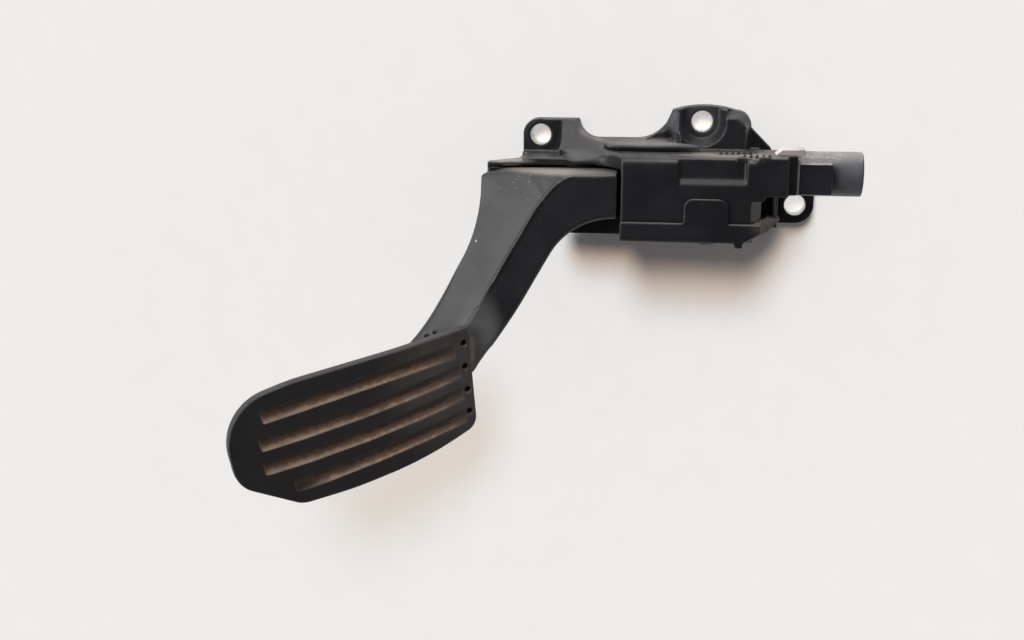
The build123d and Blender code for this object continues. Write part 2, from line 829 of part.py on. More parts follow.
# Spring seat on the tail lever, and the rubber stop under it
with BuildPart() as spring_seat:
    with BuildSketch(Plane.XY.offset(tail_top_z)):
        with Locations((spring_x, spring_y)):
            Circle(seat_radius)
    extrude(amount=seat_thickness)
    with BuildSketch(Plane.XY.offset(spring_foot_z)):
        with Locations((spring_x, spring_y)):
            Circle(spigot_radius)
    extrude(amount=spigot_height)
spring_seat.part.label = "spring_seat"
export_step(spring_seat.part, "parts/spring_seat.step")

with BuildPart() as idle_stop_bumper:
    with BuildSketch(Plane.XY.offset(wall)):
        with Locations((spring_x, spring_y)):
            Circle(bumper_radius)
    extrude(amount=tail_bottom_z - stop_gap - wall)
idle_stop_bumper.part.label = "idle_stop_bumper"
export_step(idle_stop_bumper.part, "parts/idle_stop_bumper.step")

# Return springs, one inside the other, between the seat and the front wall
spring_sizes = {
    "outer_return_spring": (outer_coil_radius, outer_wire_radius, outer_turns),
    "inner_return_spring": (inner_coil_radius, inner_wire_radius, inner_turns),
}
for spring_name, (coil_radius, wire_radius, turns) in spring_sizes.items():
    coil_low_z = spring_foot_z + wire_radius + spring_end_gap
    coil_height = cavity_front_z - wire_radius - spring_end_gap - coil_low_z
    with BuildPart() as return_spring:
        with BuildLine() as coil:
            Helix(coil_height / turns, coil_height, coil_radius, (spring_x, spring_y, coil_low_z))
        with BuildSketch(Plane(origin=coil.line @ 0, z_dir=coil.line % 0)):
            Circle(wire_radius)
        sweep(path=coil.line, is_frenet=True)
    return_spring.part.label = spring_name
    export_step(return_spring.part, f"parts/{spring_name}.step")

# Sensor: metal rotor on the tail lever, board on its posts, and two chips
with BuildPart() as sensor_rotor:
    with BuildSketch(Plane.XZ.offset(-tail_side_y)):
        with Locations((spring_x, (tail_top_z + tail_bottom_z) / 2)):
            SlotOverall(rotor_length, rotor_height)
    extrude(amount=-rotor_thickness)
sensor_rotor.part.label = "sensor_rotor"
export_step(sensor_rotor.part, "parts/sensor_rotor.step")

board_plane = Plane.XZ.offset(-board_top_y)
with BuildPart() as circuit_board:
    with BuildSketch(board_plane):
        with Locations((board_left, board_bottom_z)):
            Rectangle(board_right - board_left, board_top_z - board_bottom_z, align=corner)
    extrude(amount=board_thickness)
circuit_board.part.label = "circuit_board"
export_step(circuit_board.part, "parts/circuit_board.step")

for chip_number, chip_side in ((1, -0.5), (2, 0.5)):
    with BuildPart() as sensor_chip:
        with BuildSketch(board_plane):
            with Locations((chip_x, (board_bottom_z + board_top_z) / 2 + chip_side * chip_spacing)):
                Rectangle(chip_size, chip_size)
        extrude(amount=-chip_height)
    sensor_chip.part.label = f"sensor_chip_{chip_number}"
    export_step(sensor_chip.part, f"parts/sensor_chip_{chip_number}.step")

# Connector: terminals in one row, the socket that holds them and its seal
terminal_heights = [
    connector_z + (number - (terminal_count - 1) / 2) * terminal_pitch
    for number in range(terminal_count)
]
for number, terminal_z in enumerate(terminal_heights, start=1):
    with BuildPart() as terminal:
        with BuildSketch(Plane.YZ.offset(terminal_left_x)):
            with Locations((connector_y, terminal_z)):
                Rectangle(terminal_size, terminal_size)
        extrude(amount=terminal_right_x - terminal_left_x)
    terminal.part.label = f"terminal_{number}"
    export_step(terminal.part, f"parts/terminal_{number}.step")

with BuildPart() as connector_shroud:
    with BuildSketch(Plane.YZ.offset(shroud_left_x)):
        with Locations((connector_y, connector_z)):
            Circle(socket_radius)
    extrude(amount=socket_length)
    chamfer(connector_shroud.faces().sort_by(Axis.X)[-1].edges(), socket_chamfer)
    with BuildSketch(Plane.YZ.offset(shroud_left_x)):
        with Locations((connector_y, connector_z + (socket_radius + key_proud) / 2)):
            Rectangle(key_height, socket_radius + key_proud)
    extrude(amount=key_length)
    with BuildSketch(Plane.YZ.offset(cavity_right_x + spigot_setback)):
        with Locations((connector_y, connector_z)):
            Rectangle(
                socket_window_height - 2 * spigot_clearance,
                socket_window_depth - 2 * spigot_clearance,
            )
    extrude(amount=shroud_left_x - cavity_right_x - spigot_setback)
    with BuildSketch(Plane.YZ.offset(shroud_left_x + socket_floor)):
        with Locations((connector_y, connector_z)):
            Circle(socket_radius - socket_wall)
    extrude(amount=socket_length - socket_floor, mode=Mode.SUBTRACT)
    with BuildSketch(Plane.YZ.offset(cavity_right_x)):
        with Locations(*[(connector_y, terminal_z) for terminal_z in terminal_heights]):
            Rectangle(terminal_size + 2 * terminal_clearance, terminal_size + 2 * terminal_clearance)
    extrude(amount=terminal_right_x - cavity_right_x, mode=Mode.SUBTRACT)
connector_shroud.part.label = "connector_shroud"
export_step(connector_shroud.part, "parts/connector_shroud.step")

with BuildPart() as connector_gasket:
    with BuildSketch(Plane.YZ.offset(collar_right_x)):
        with Locations((connector_y, connector_z)):
            Circle(socket_radius - gasket_margin)
        with Locations((connector_y, connector_z + (socket_radius + key_proud - gasket_margin) / 2)):
            Rectangle(key_height - 2 * gasket_margin, socket_radius + key_proud - gasket_margin)
        with Locations((connector_y, connector_z)):
            Rectangle(socket_window_height, socket_window_depth, mode=Mode.SUBTRACT)
    extrude(amount=gasket_thickness)
connector_gasket.part.label = "connector_gasket"
export_step(connector_gasket.part, "parts/connector_gasket.step")
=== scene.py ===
"""Looks of an electronic accelerator pedal lying on its mounting face.

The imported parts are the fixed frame. The visible mouldings are copies of them, or solids of their
own, with details cut in and fused on and every edge rounded. The springs and the strip's teeth are
made with Geometry Nodes, and the small inner pieces keep their meshes. All get procedural finishes.
Sizes in the classes are millimetres in the row frame, and meshes are metres.
"""

import logging
import math
from dataclasses import dataclass, field
from enum import Enum

import bmesh
import bpy
import numpy as np
from mathutils import Matrix, Vector


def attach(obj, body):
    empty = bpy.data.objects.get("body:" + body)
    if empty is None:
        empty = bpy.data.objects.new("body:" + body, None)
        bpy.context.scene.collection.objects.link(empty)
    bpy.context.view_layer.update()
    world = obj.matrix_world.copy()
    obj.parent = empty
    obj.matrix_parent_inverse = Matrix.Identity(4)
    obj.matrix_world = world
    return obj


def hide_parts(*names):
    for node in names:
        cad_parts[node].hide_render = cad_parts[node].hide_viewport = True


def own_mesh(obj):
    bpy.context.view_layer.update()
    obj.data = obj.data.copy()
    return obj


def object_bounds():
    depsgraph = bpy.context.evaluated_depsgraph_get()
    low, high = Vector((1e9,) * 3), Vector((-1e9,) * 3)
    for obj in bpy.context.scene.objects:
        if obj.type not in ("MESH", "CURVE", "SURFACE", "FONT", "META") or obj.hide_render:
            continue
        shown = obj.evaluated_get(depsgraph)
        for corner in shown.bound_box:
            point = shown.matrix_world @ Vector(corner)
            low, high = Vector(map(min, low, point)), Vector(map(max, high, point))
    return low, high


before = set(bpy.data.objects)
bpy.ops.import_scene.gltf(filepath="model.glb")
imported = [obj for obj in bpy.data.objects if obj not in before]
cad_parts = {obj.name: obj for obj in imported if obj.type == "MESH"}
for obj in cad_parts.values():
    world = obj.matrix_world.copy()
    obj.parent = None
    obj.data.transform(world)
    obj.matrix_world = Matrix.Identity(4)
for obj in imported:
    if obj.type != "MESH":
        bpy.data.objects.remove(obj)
CAD_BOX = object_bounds()

MM = 0.001
MERGE = 1e-7
TINY = 1e-9
log = logging.getLogger("pedal")

Point = tuple[float, float, float]
Colour = tuple[float, float, float]
Span = tuple[float, float]
Outline = list[Span]
Feed = float | tuple[float, ...] | bpy.types.NodeSocket


class Body(Enum):
    """The bodies that pieces ride on."""

    HOUSING = "housing_body"
    PEDAL = "pedal"


class Axis(Enum):
    """The direction in which an outline is extruded, with the order of its two coordinates."""

    X = (1, 2, 0)
    Y = (0, 2, 1)
    Z = (0, 1, 2)


# Node trees


class Tree:
    """A node tree under construction."""

    def __init__(self, tree: bpy.types.NodeTree) -> None:
        """Takes the tree to fill."""
        self.tree = tree

    def node(
        self, kind: str, settings: dict[str, object] | None = None, **inputs: Feed
    ) -> bpy.types.Node:
        """Adds a node.

        Args:
            kind: Blender's name of the node type.
            settings: properties of the node.
            inputs: values or sockets, by input name with _ for a space, or i0, i1 for a place.

        Returns:
            The new node.
        """
        made = self.tree.nodes.new(kind)
        for key, value in (settings or {}).items():
            setattr(made, key, value)
        for key, value in inputs.items():
            place = key[1:]
            socket = made.inputs[int(place) if place.isdigit() else key.replace("_", " ")]
            if isinstance(value, bpy.types.NodeSocket):
                self.tree.links.new(value, socket)
            else:
                socket.default_value = value
        return made

    def math(
        self, operation: str, first: Feed, second: Feed = 0.0, third: Feed = 0.5
    ) -> bpy.types.NodeSocket:
        """Adds a Math node and returns its output."""
        settings = {"operation": operation}
        return self.node("ShaderNodeMath", settings, i0=first, i1=second, i2=third).outputs[0]

    def mix(self, factor: Feed, first: Feed, second: Feed) -> bpy.types.NodeSocket:
        """Mixes two colours and returns the result."""
        settings = {"data_type": "RGBA"}
        return self.node("ShaderNodeMix", settings, i0=factor, i6=first, i7=second).outputs[2]

    def ramp(
        self, value: Feed, low: Feed, high: Feed, start: Feed = 0.0, end: Feed = 1.0
    ) -> bpy.types.NodeSocket:
        """Maps a value smoothly from low..high to start..end and returns it."""
        settings = {"interpolation_type": "SMOOTHSTEP"}
        values = {"i0": value, "i1": low, "i2": high, "i3": start, "i4": end}
        return self.node("ShaderNodeMapRange", settings, **values).outputs[0]

    def noise(
        self, vector: Feed, scale: Feed, detail: float = 4.0, roughness: float = 0.55
    ) -> bpy.types.NodeSocket:
        """Adds a Noise texture and returns its value."""
        values = {"Vector": vector, "Scale": scale, "Detail": detail, "Roughness": roughness}
        return self.node("ShaderNodeTexNoise", None, **values).outputs[0]

    def vector(self, operation: str, first: Feed, second: Feed) -> bpy.types.Node:
        """Adds a Vector Math node and returns it."""
        return self.node("ShaderNodeVectorMath", {"operation": operation}, i0=first, i1=second)

    def dot(self, first: Feed, second: Feed) -> bpy.types.NodeSocket:
        """Returns the dot product of two vectors."""
        return self.vector("DOT_PRODUCT", first, second).outputs["Value"]

    def distance(self, first: Feed, second: Feed) -> bpy.types.NodeSocket:
        """Returns the distance between two points."""
        return self.vector("DISTANCE", first, second).outputs["Value"]

    def mask(self, group: bpy.types.NodeTree, **inputs: Feed) -> bpy.types.NodeSocket:
        """Places a shared node group and returns its first output."""
        return self.node("ShaderNodeGroup", {"node_tree": group}, **inputs).outputs[0]

    def dress(
        self, shape: bpy.types.NodeSocket, finish: bpy.types.NodeSocket, out: bpy.types.Node
    ) -> None:
        """Ends a Geometry Nodes tree: real geometry with its material.

        Args:
            shape: the geometry so far.
            finish: the material's socket.
            out: the group's output node.
        """
        real = self.node("GeometryNodeRealizeInstances", None, i0=shape).outputs[0]
        dressed = self.node("GeometryNodeSetMaterial", None, Geometry=real, Material=finish)
        self.tree.links.new(dressed.outputs[0], out.inputs[0])

    def surface(self, colour: Feed, rough: Feed, bump: Feed) -> bpy.types.Node:
        """Adds the shader with its output, and returns the shader.

        Args:
            colour: the base colour.
            rough: the roughness.
            bump: the bumped normal.

        Returns:
            The shader's node.
        """
        inputs = {"Base_Color": colour, "Roughness": rough, "Normal": bump}
        shader = self.node("ShaderNodeBsdfPrincipled", None, **inputs)
        self.tree.links.new(shader.outputs[0], self.node("ShaderNodeOutputMaterial").inputs[0])
        return shader


def new_material(name: str) -> tuple[Tree, bpy.types.Material]:
    """Starts a material with an empty tree.

    Args:
        name: the material's name.

    Returns:
        The tree and the material.
    """
    material = bpy.data.materials.new(name)
    material.use_nodes = True
    material.node_tree.nodes.clear()
    return Tree(material.node_tree), material


def new_group(
    name: str, inputs: dict[str, str], outputs: dict[str, str], kind: str
) -> tuple[Tree, dict[str, bpy.types.NodeSocket], bpy.types.Node]:
    """Starts a node group.

    Args:
        name: the group's name.
        inputs: socket types by input name.
        outputs: socket types by output name.
        kind: the tree's type.

    Returns:
        The tree, its input sockets by name, and the output node.
    """
    tree = bpy.data.node_groups.new(name, kind)
    for label, socket in inputs.items():
        tree.interface.new_socket(label, in_out="INPUT", socket_type=socket)
    for label, socket in outputs.items():
        tree.interface.new_socket(label, in_out="OUTPUT", socket_type=socket)
    given = tree.nodes.new("NodeGroupInput").outputs
    sockets = {label: given[label] for label in inputs}
    return Tree(tree), sockets, tree.nodes.new("NodeGroupOutput")


VECTOR, FLOAT = "NodeSocketVector", "NodeSocketFloat"
GEOMETRY, FINISH = "NodeSocketGeometry", "NodeSocketMaterial"


class Effects:
    """Shader node groups that several finishes share."""

    dust_patches: tuple[float, ...] = (0.3, 0.62, 0.45, 1.0)
    dust_speckle: tuple[float, ...] = (0.3, 0.7, 0.6, 1.0)
    speckle_ratio: float = 11.0
    wear_breaks: Span = (0.4, 0.68)
    wear_bend: Span = (0.2, 0.75)
    grain_cells: float = 0.35
    speck_wobble: float = 420.0
    speck_shift: float = 0.0012
    speck_rim: tuple[float, ...] = (0.09, 0.17, 1.0, 0.0)
    patch_rim: Span = (0.3, 1.0)

    def __init__(self) -> None:
        """Builds each group once."""
        self.dust = self.make_dust()
        self.wear = self.make_wear()
        self.grain = self.make_grain()
        self.specks = self.make_specks()
        self.patch = self.make_patch()

    def make_dust(self) -> bpy.types.NodeTree:
        """Dust that settles on surfaces leaning one way, in soft patches.

        Returns:
            The shader node group.
        """
        inputs = dict.fromkeys(("Vector", "Normal", "Lean"), VECTOR)
        inputs |= dict.fromkeys(("Low", "High", "Patch"), FLOAT)
        tree, sockets, out = new_group("settled_dust", inputs, {"Mask": FLOAT}, "ShaderNodeTree")
        facing = tree.dot(sockets["Normal"], sockets["Lean"])
        leaning = tree.ramp(facing, sockets["Low"], sockets["High"])
        coarse = tree.noise(sockets["Vector"], sockets["Patch"], 5)
        patches = tree.ramp(coarse, *self.dust_patches)
        finer = tree.math("MULTIPLY", sockets["Patch"], self.speckle_ratio)
        fine = tree.ramp(tree.noise(sockets["Vector"], finer), *self.dust_speckle)
        mask = tree.math("MULTIPLY", tree.math("MULTIPLY", leaning, patches), fine)
        tree.tree.links.new(mask, out.inputs[0])
        return tree.tree

    def make_wear(self) -> bpy.types.NodeTree:
        """Broken wear along convex edges.

        Returns:
            The shader node group.
        """
        inputs = {"Vector": VECTOR, "Edge": FLOAT, "Patch": FLOAT}
        tree, sockets, out = new_group("edge_wear", inputs, {"Mask": FLOAT}, "ShaderNodeTree")
        noise = tree.noise(sockets["Vector"], sockets["Patch"], 6, 0.65)
        broken = tree.ramp(noise, *self.wear_breaks)
        mask = tree.math("MULTIPLY", tree.ramp(sockets["Edge"], *self.wear_bend), broken)
        tree.tree.links.new(mask, out.inputs[0])
        return tree.tree

    def make_grain(self) -> bpy.types.NodeTree:
        """The fine sparked texture of a mould, as a height.

        Returns:
            The shader node group.
        """
        inputs = {"Vector": VECTOR, "Scale": FLOAT}
        tree, sockets, out = new_group("moulded_grain", inputs, {"Height": FLOAT}, "ShaderNodeTree")
        coarse = tree.noise(sockets["Vector"], sockets["Scale"], 3, 0.6)
        cells = tree.node(
            "ShaderNodeTexVoronoi", None, Vector=sockets["Vector"], Scale=sockets["Scale"]
        )
        fine = tree.math("MULTIPLY", cells.outputs["Distance"], self.grain_cells)
        height = tree.math("ADD", coarse, fine)
        tree.tree.links.new(height, out.inputs[0])
        return tree.tree

    def make_specks(self) -> bpy.types.NodeTree:
        """Scattered small chips and specks.

        Returns:
            The shader node group.
        """
        inputs = {"Vector": VECTOR, "Scale": FLOAT, "Share": FLOAT}
        tree, sockets, out = new_group("light_specks", inputs, {"Mask": FLOAT}, "ShaderNodeTree")
        wobble = tree.node(
            "ShaderNodeTexNoise", None, Vector=sockets["Vector"], Scale=self.speck_wobble
        ).outputs["Color"]
        moved = tree.node(
            "ShaderNodeVectorMath", {"operation": "MULTIPLY_ADD"}, i0=wobble,
            i1=(self.speck_shift,) * 3, i2=sockets["Vector"],
        ).outputs[0]
        cells = tree.node("ShaderNodeTexVoronoi", None, Vector=moved, Scale=sockets["Scale"])
        dots = tree.ramp(cells.outputs["Distance"], *self.speck_rim)
        pick = tree.node("ShaderNodeSeparateColor", None, i0=cells.outputs["Color"]).outputs[0]
        chosen = tree.math("LESS_THAN", pick, sockets["Share"])
        tree.tree.links.new(tree.math("MULTIPLY", dots, chosen), out.inputs[0])
        return tree.tree

    def make_patch(self) -> bpy.types.NodeTree:
        """A local patch inside an ellipsoid, broken up by noise.

        Returns:
            The shader node group.
        """
        inputs = dict.fromkeys(("Vector", "Centre", "Shrink"), VECTOR)
        inputs |= dict.fromkeys(("Grain", "Low", "High", "Least", "Strength"), FLOAT)
        tree, sockets, out = new_group("local_soil", inputs, {"Mask": FLOAT}, "ShaderNodeTree")
        shifted = tree.vector("SUBTRACT", sockets["Vector"], sockets["Centre"]).outputs[0]
        ball = tree.vector("MULTIPLY", shifted, sockets["Shrink"]).outputs[0]
        away = tree.distance(ball, (0.0, 0.0, 0.0))
        near = tree.ramp(away, *self.patch_rim, sockets["Strength"], 0.0)
        noise = tree.noise(sockets["Vector"], sockets["Grain"], 6, 0.7)
        broken = tree.ramp(noise, sockets["Low"], sockets["High"], sockets["Least"], 1.0)
        tree.tree.links.new(tree.math("MULTIPLY", near, broken), out.inputs[0])
        return tree.tree


EFFECTS = Effects()


@dataclass(frozen=True)
class SoilAndLightPatch:
    """A local patch of colour: an ellipsoid in millimetres, its colour and how broken up it is. Most
    are dirt; the ones marked where they are listed are painted light.
    """

    centre: Point
    radii: Point
    colour: Colour
    strength: float
    grain: float = 260.0
    breaks: Span = (0.36, 0.62)
    least: float = 0.0


@dataclass(frozen=True)
class MouldedFinish:
    """Moulded plastic or rubber with grain, dust, edge wear, dirt and, in places, patches of painted
    light.
    """

    name: str
    colour: Colour
    roughness: float
    grain_scale: float = 1500.0
    grain_depth: float = 0.00006
    grain_strength: float = 0.35
    specular: float = 0.5
    dust_colour: Colour = (0.3, 0.275, 0.25)
    dust_lean: Point = (0.0, 1.0, 0.0)
    dust_range: Span = (0.3, 0.95)
    dust: float = 0.5
    wear_colour: Colour = (0.2, 0.2, 0.21)
    wear: float = 0.5
    specks: float = 0.02
    soil_and_light_patches: tuple[SoilAndLightPatch, ...] = ()
    cloud_scale: float = 55.0
    cloud_tones: Span = (0.82, 1.2)
    cloud_rough: float = 0.08
    dust_patch: float = 70.0
    dust_rough: float = 0.3
    wear_patch: float = 160.0
    speck_scale: float = 210.0
    speck_strength: float = 0.6
    speck_colour: Colour = (0.42, 0.42, 0.41)

    def start(self) -> tuple[Tree, bpy.types.Material, dict]:
        """Builds the coordinates and the plain colour.

        Returns:
            The tree, the material, and the sockets that later steps use.
        """
        tree, material = new_material(self.name)
        place = tree.node("ShaderNodeTexCoord")
        at, normal = place.outputs["Object"], place.outputs["Normal"]
        cloud = tree.ramp(tree.noise(at, self.cloud_scale, 5), 0.3, 0.7)
        tones = [tuple(tone * c for c in self.colour) + (1.0,) for tone in self.cloud_tones]
        colour = tree.mix(cloud, *tones)
        return tree, material, {"at": at, "normal": normal, "colour": colour, "cloud": cloud}

    def lay_dirt_and_light(self, tree: Tree, parts: dict) -> None:
        """Lays dust, local soil, patches of painted light, wear and specks over the plain colour.

        Args:
            tree: the material's tree.
            parts: its sockets, of which colour and dust are set; the dust entry also takes the masks of
                the soil and painted-light patches.
        """
        dust = tree.mask(
            EFFECTS.dust, Vector=parts["at"], Normal=parts["normal"], Lean=self.dust_lean,
            Low=self.dust_range[0], High=self.dust_range[1], Patch=self.dust_patch,
        )
        cover = tree.math("MULTIPLY", dust, self.dust)
        colour = tree.mix(cover, parts["colour"], (*self.dust_colour, 1.0))
        # Local patches: dirt, and where marked, painted light (sheen, highlight, reflection).
        for soil in self.soil_and_light_patches:
            mask = tree.mask(
                EFFECTS.patch, Vector=parts["at"], Centre=tuple(c * MM for c in soil.centre),
                Shrink=tuple(1.0 / (r * MM) for r in soil.radii), Grain=soil.grain,
                Low=soil.breaks[0], High=soil.breaks[1], Least=soil.least, Strength=soil.strength,
            )
            colour = tree.mix(mask, colour, (*soil.colour, 1.0))
            cover = tree.math("MAXIMUM", cover, mask)
        edge = tree.node("ShaderNodeAttribute", {"attribute_name": "edge"}).outputs["Fac"]
        worn = tree.mask(EFFECTS.wear, Vector=parts["at"], Edge=edge, Patch=self.wear_patch)
        worn = tree.math("MULTIPLY", worn, self.wear)
        colour = tree.mix(worn, colour, (*self.wear_colour, 1.0))
        specks = tree.mask(
            EFFECTS.specks, Vector=parts["at"], Scale=self.speck_scale, Share=self.specks
        )
        specks = tree.math("MULTIPLY", specks, self.speck_strength)
        parts["colour"] = tree.mix(specks, colour, (*self.speck_colour, 1.0))
        parts["dust"] = cover

    def close(self, tree: Tree, parts: dict) -> None:
        """Adds grain and the shader.

        Args:
            tree: the material's tree.
            parts: its finished sockets.
        """
        base = self.roughness - self.cloud_rough / 2
        smooth = tree.math("MULTIPLY_ADD", parts["cloud"], self.cloud_rough, base)
        rough = tree.math("MULTIPLY_ADD", parts["dust"], self.dust_rough, smooth)
        grain = tree.mask(EFFECTS.grain, Vector=parts["at"], Scale=self.grain_scale)
        height = tree.math("ADD", grain, parts["dust"])
        bump = tree.node(
            "ShaderNodeBump", None, Strength=self.grain_strength, Distance=self.grain_depth,
            Height=height,
        )
        shader = tree.surface(parts["colour"], rough, bump.outputs[0])
        shader.inputs["Specular IOR Level"].default_value = self.specular

    def material(self) -> bpy.types.Material:
        """Builds the material.

        Returns:
            The finished material.
        """
        tree, material, parts = self.start()
        self.lay_dirt_and_light(tree, parts)
        self.close(tree, parts)
        return material


@dataclass(frozen=True)
class GroovedFinish(MouldedFinish):
    """The pad's finish: soil lies in its grooves, told by the depth below its face.

    The limits are millimetres along the pad, down its face and out of it, each with the share of
    soil before and after.
    """

    face: Point = (-25.2, -77.1, 55.1)
    along: Point = (-0.8284, -0.2233, 0.5137)
    down: Point = (0.1897, -0.9748, -0.1176)
    out: Point = (0.527, 0.0, 0.85)
    lower_rise: float = 0.067
    # Soil tones; the pale and the dark one also carry painted light and shade on the groove walls.
    pale_soil_lit: Colour = (0.26, 0.195, 0.145)
    soil_mid: Colour = (0.14, 0.082, 0.053)
    dark_soil_shaded: Colour = (0.06, 0.036, 0.026)
    face_limit: tuple[float, ...] = (-0.4, 0.0, 1.0, 0.0)
    floor_limit: tuple[float, ...] = (-2.2, -1.9, 0.0, 1.0)
    top_limit: tuple[float, ...] = (3.0, 4.0, 0.0, 1.0)
    bottom_limit: tuple[float, ...] = (42.2, 43.0, 1.0, 0.0)
    inner_limit: tuple[float, ...] = (6.5, 28.0, 0.3, 1.0)
    outer_limit: tuple[float, ...] = (99.0, 100.0, 1.0, 0.0)
    corner_limit: tuple[float, ...] = (156.0, 170.0, 1.0, 0.1)
    patches: tuple[float, ...] = (0.25, 0.6, 0.6, 1.0)
    patch_scale: float = 110.0
    corner_drop: float = 2.0
    inner_darkening: tuple[float, ...] = (30.0, 90.0, 0.3, 0.0)
    blotch_scale: float = 340.0
    blotch_gain: float = 1.7
    mid_tone_range: Span = (0.25, 0.75)
    dark_tone_range: Span = (0.95, 1.4)

    def reading(self, tree: Tree, at: bpy.types.NodeSocket, way: Point) -> bpy.types.NodeSocket:
        """Returns how far a place lies from the pad's corner one way, in millimetres."""
        start = sum(f * w for f, w in zip(self.face, way))
        return tree.math("SUBTRACT", tree.math("MULTIPLY", tree.dot(at, way), 1.0 / MM), start)

    def lay_dirt_and_light(self, tree: Tree, parts: dict) -> None:
        """Lays soil in the grooves, after the dust and wear: pale low in them and brown above. This is
        partly painted light and shade, since walls that face up the pad get paler soil and walls that
        face down it darker soil.

        Args:
            tree: the material's tree.
            parts: its sockets, of which colour and dust are set.
        """
        super().lay_dirt_and_light(tree, parts)
        at = parts["at"]
        ways = (self.along, self.down, self.out)
        run, drop, height = (self.reading(tree, at, way) for way in ways)
        low_edge = tree.math("SUBTRACT", drop, tree.math("MULTIPLY", run, self.lower_rise))
        corner = tree.math("ADD", run, tree.math("MULTIPLY", drop, self.corner_drop))
        mask = tree.ramp(height, *self.face_limit)
        for value, limit in (
            (height, self.floor_limit), (drop, self.top_limit), (low_edge, self.bottom_limit),
            (run, self.inner_limit), (run, self.outer_limit), (corner, self.corner_limit),
            (tree.noise(at, self.patch_scale, 6, 0.6), self.patches),
        ):
            mask = tree.math("MULTIPLY", mask, tree.ramp(value, *limit))
        # Painted light and shade: the soil's tone follows how each groove wall faces, paler facing up
        # the pad, darker facing down it.
        tilt = tree.dot(parts["normal"], self.down)
        shade_and_inner_tone = tree.math("ADD", tilt, tree.ramp(run, *self.inner_darkening))
        spread = tree.noise(at, self.blotch_scale, 6, 0.75)
        tone_with_shade = tree.math("MULTIPLY_ADD", spread, self.blotch_gain, shade_and_inner_tone)
        pale, mid, dark = (
            (*colour, 1.0) for colour in (self.pale_soil_lit, self.soil_mid, self.dark_soil_shaded)
        )
        soil = tree.mix(tree.ramp(tone_with_shade, *self.mid_tone_range), pale, mid)
        soil = tree.mix(tree.ramp(tone_with_shade, *self.dark_tone_range), soil, dark)
        parts["colour"] = tree.mix(mask, parts["colour"], soil)
        parts["dust"] = tree.math("MAXIMUM", parts["dust"], mask)


@dataclass(frozen=True)
class MetalFinish:
    """Drawn, plated or ground metal with fine brushing and dull patches."""

    name: str
    colour: Colour
    roughness: float
    brushing: Point = (900.0, 900.0, 60.0)
    brushing_depth: float = 0.00003
    brushing_strength: float = 0.2
    dull: float = 0.25
    dull_scale: float = 240.0
    smoother: float = 0.08
    rougher: float = 0.12

    def material(self) -> bpy.types.Material:
        """Builds the material.

        Returns:
            The finished material.
        """
        tree, material = new_material(self.name)
        at = tree.node("ShaderNodeTexCoord").outputs["Object"]
        drawn = tree.node("ShaderNodeMapping", None, Vector=at, Scale=self.brushing).outputs[0]
        lines = tree.noise(drawn, 1.0, 3)
        patches = tree.ramp(tree.noise(at, self.dull_scale, 5, 0.65), 0.45, 0.7)
        dark = tuple(c * (1.0 - self.dull) for c in self.colour)
        colour = tree.mix(patches, (*self.colour, 1.0), (*dark, 1.0))
        smoothest, roughest = self.roughness - self.smoother, self.roughness + self.rougher
        rough = tree.ramp(lines, 0.3, 0.7, smoothest, roughest)
        bump = tree.node(
            "ShaderNodeBump", None, Strength=self.brushing_strength,
            Distance=self.brushing_depth, Height=lines,
        )
        shader = tree.surface(colour, rough, bump.outputs[0])
        shader.inputs["Metallic"].default_value = 1.0
        return material


# Mesh making


def mesh_object(name: str, data: bpy.types.ID) -> bpy.types.Object:
    """Links a mesh or curve to the scene as an object.

    Args:
        name: the object's name.
        data: the mesh or curve.

    Returns:
        The object.
    """
    made = bpy.data.objects.new(name, data)
    bpy.context.scene.collection.objects.link(made)
    return made


def evaluated(made: bpy.types.Object) -> bpy.types.Mesh:
    """Applies an object's modifiers and removes the object.

    Args:
        made: the object to use up.

    Returns:
        Its evaluated mesh.
    """
    bpy.context.view_layer.update()
    graph = bpy.context.evaluated_depsgraph_get()
    mesh = bpy.data.meshes.new_from_object(made.evaluated_get(graph), depsgraph=graph)
    bpy.data.objects.remove(made)
    return mesh


def closed_mesh(bm: bmesh.types.BMesh, name: str) -> bpy.types.Mesh:
    """Merges a closed bmesh's doubles and turns its faces outwards.

    Args:
        bm: the bmesh, which is used up.
        name: the mesh's name.

    Returns:
        The closed mesh.
    """
    bmesh.ops.remove_doubles(bm, verts=bm.verts, dist=MERGE)
    bmesh.ops.recalc_face_normals(bm, faces=bm.faces)
    mesh = bpy.data.meshes.new(name)
    bm.to_mesh(mesh)
    bm.free()
    return mesh


def skin(rows: list[list[Point]], loop: bool = False) -> bpy.types.Mesh:
    """Makes a closed solid through rows of points.

    Args:
        rows: rings of points in millimetres, equally many in each.
        loop: whether the last ring joins the first; otherwise both ends are capped.

    Returns:
        The solid's mesh.
    """
    bm = bmesh.new()
    rings = [[bm.verts.new(Vector(point) * MM) for point in row] for row in rows]
    pairs = zip(rings, rings[1:] + rings[:1]) if loop else zip(rings, rings[1:])
    for low, high in pairs:
        for here in range(len(low)):
            after = (here + 1) % len(low)
            bm.faces.new((low[here], low[after], high[after], high[here]))
    if not loop:
        bm.faces.new(rings[0])
        bm.faces.new(rings[-1])
    return closed_mesh(bm, "solid")


def prism(outline: Outline, axis: Axis, low: float, high: float) -> bpy.types.Mesh:
    """Extrudes an outline into a closed solid.

    Args:
        outline: corners in millimetres, in the axis' order of coordinates.
        axis: the direction of extrusion.
        low: where it starts along the axis.
        high: where it ends.

    Returns:
        The solid's mesh.
    """
    first, second, along = axis.value
    rows = []
    for level in (low, high):
        row = []
        for corner in outline:
            place = [0.0, 0.0, 0.0]
            place[first], place[second], place[along] = corner[0], corner[1], level
            row.append(tuple(place))
        rows.append(row)
    return skin(rows)


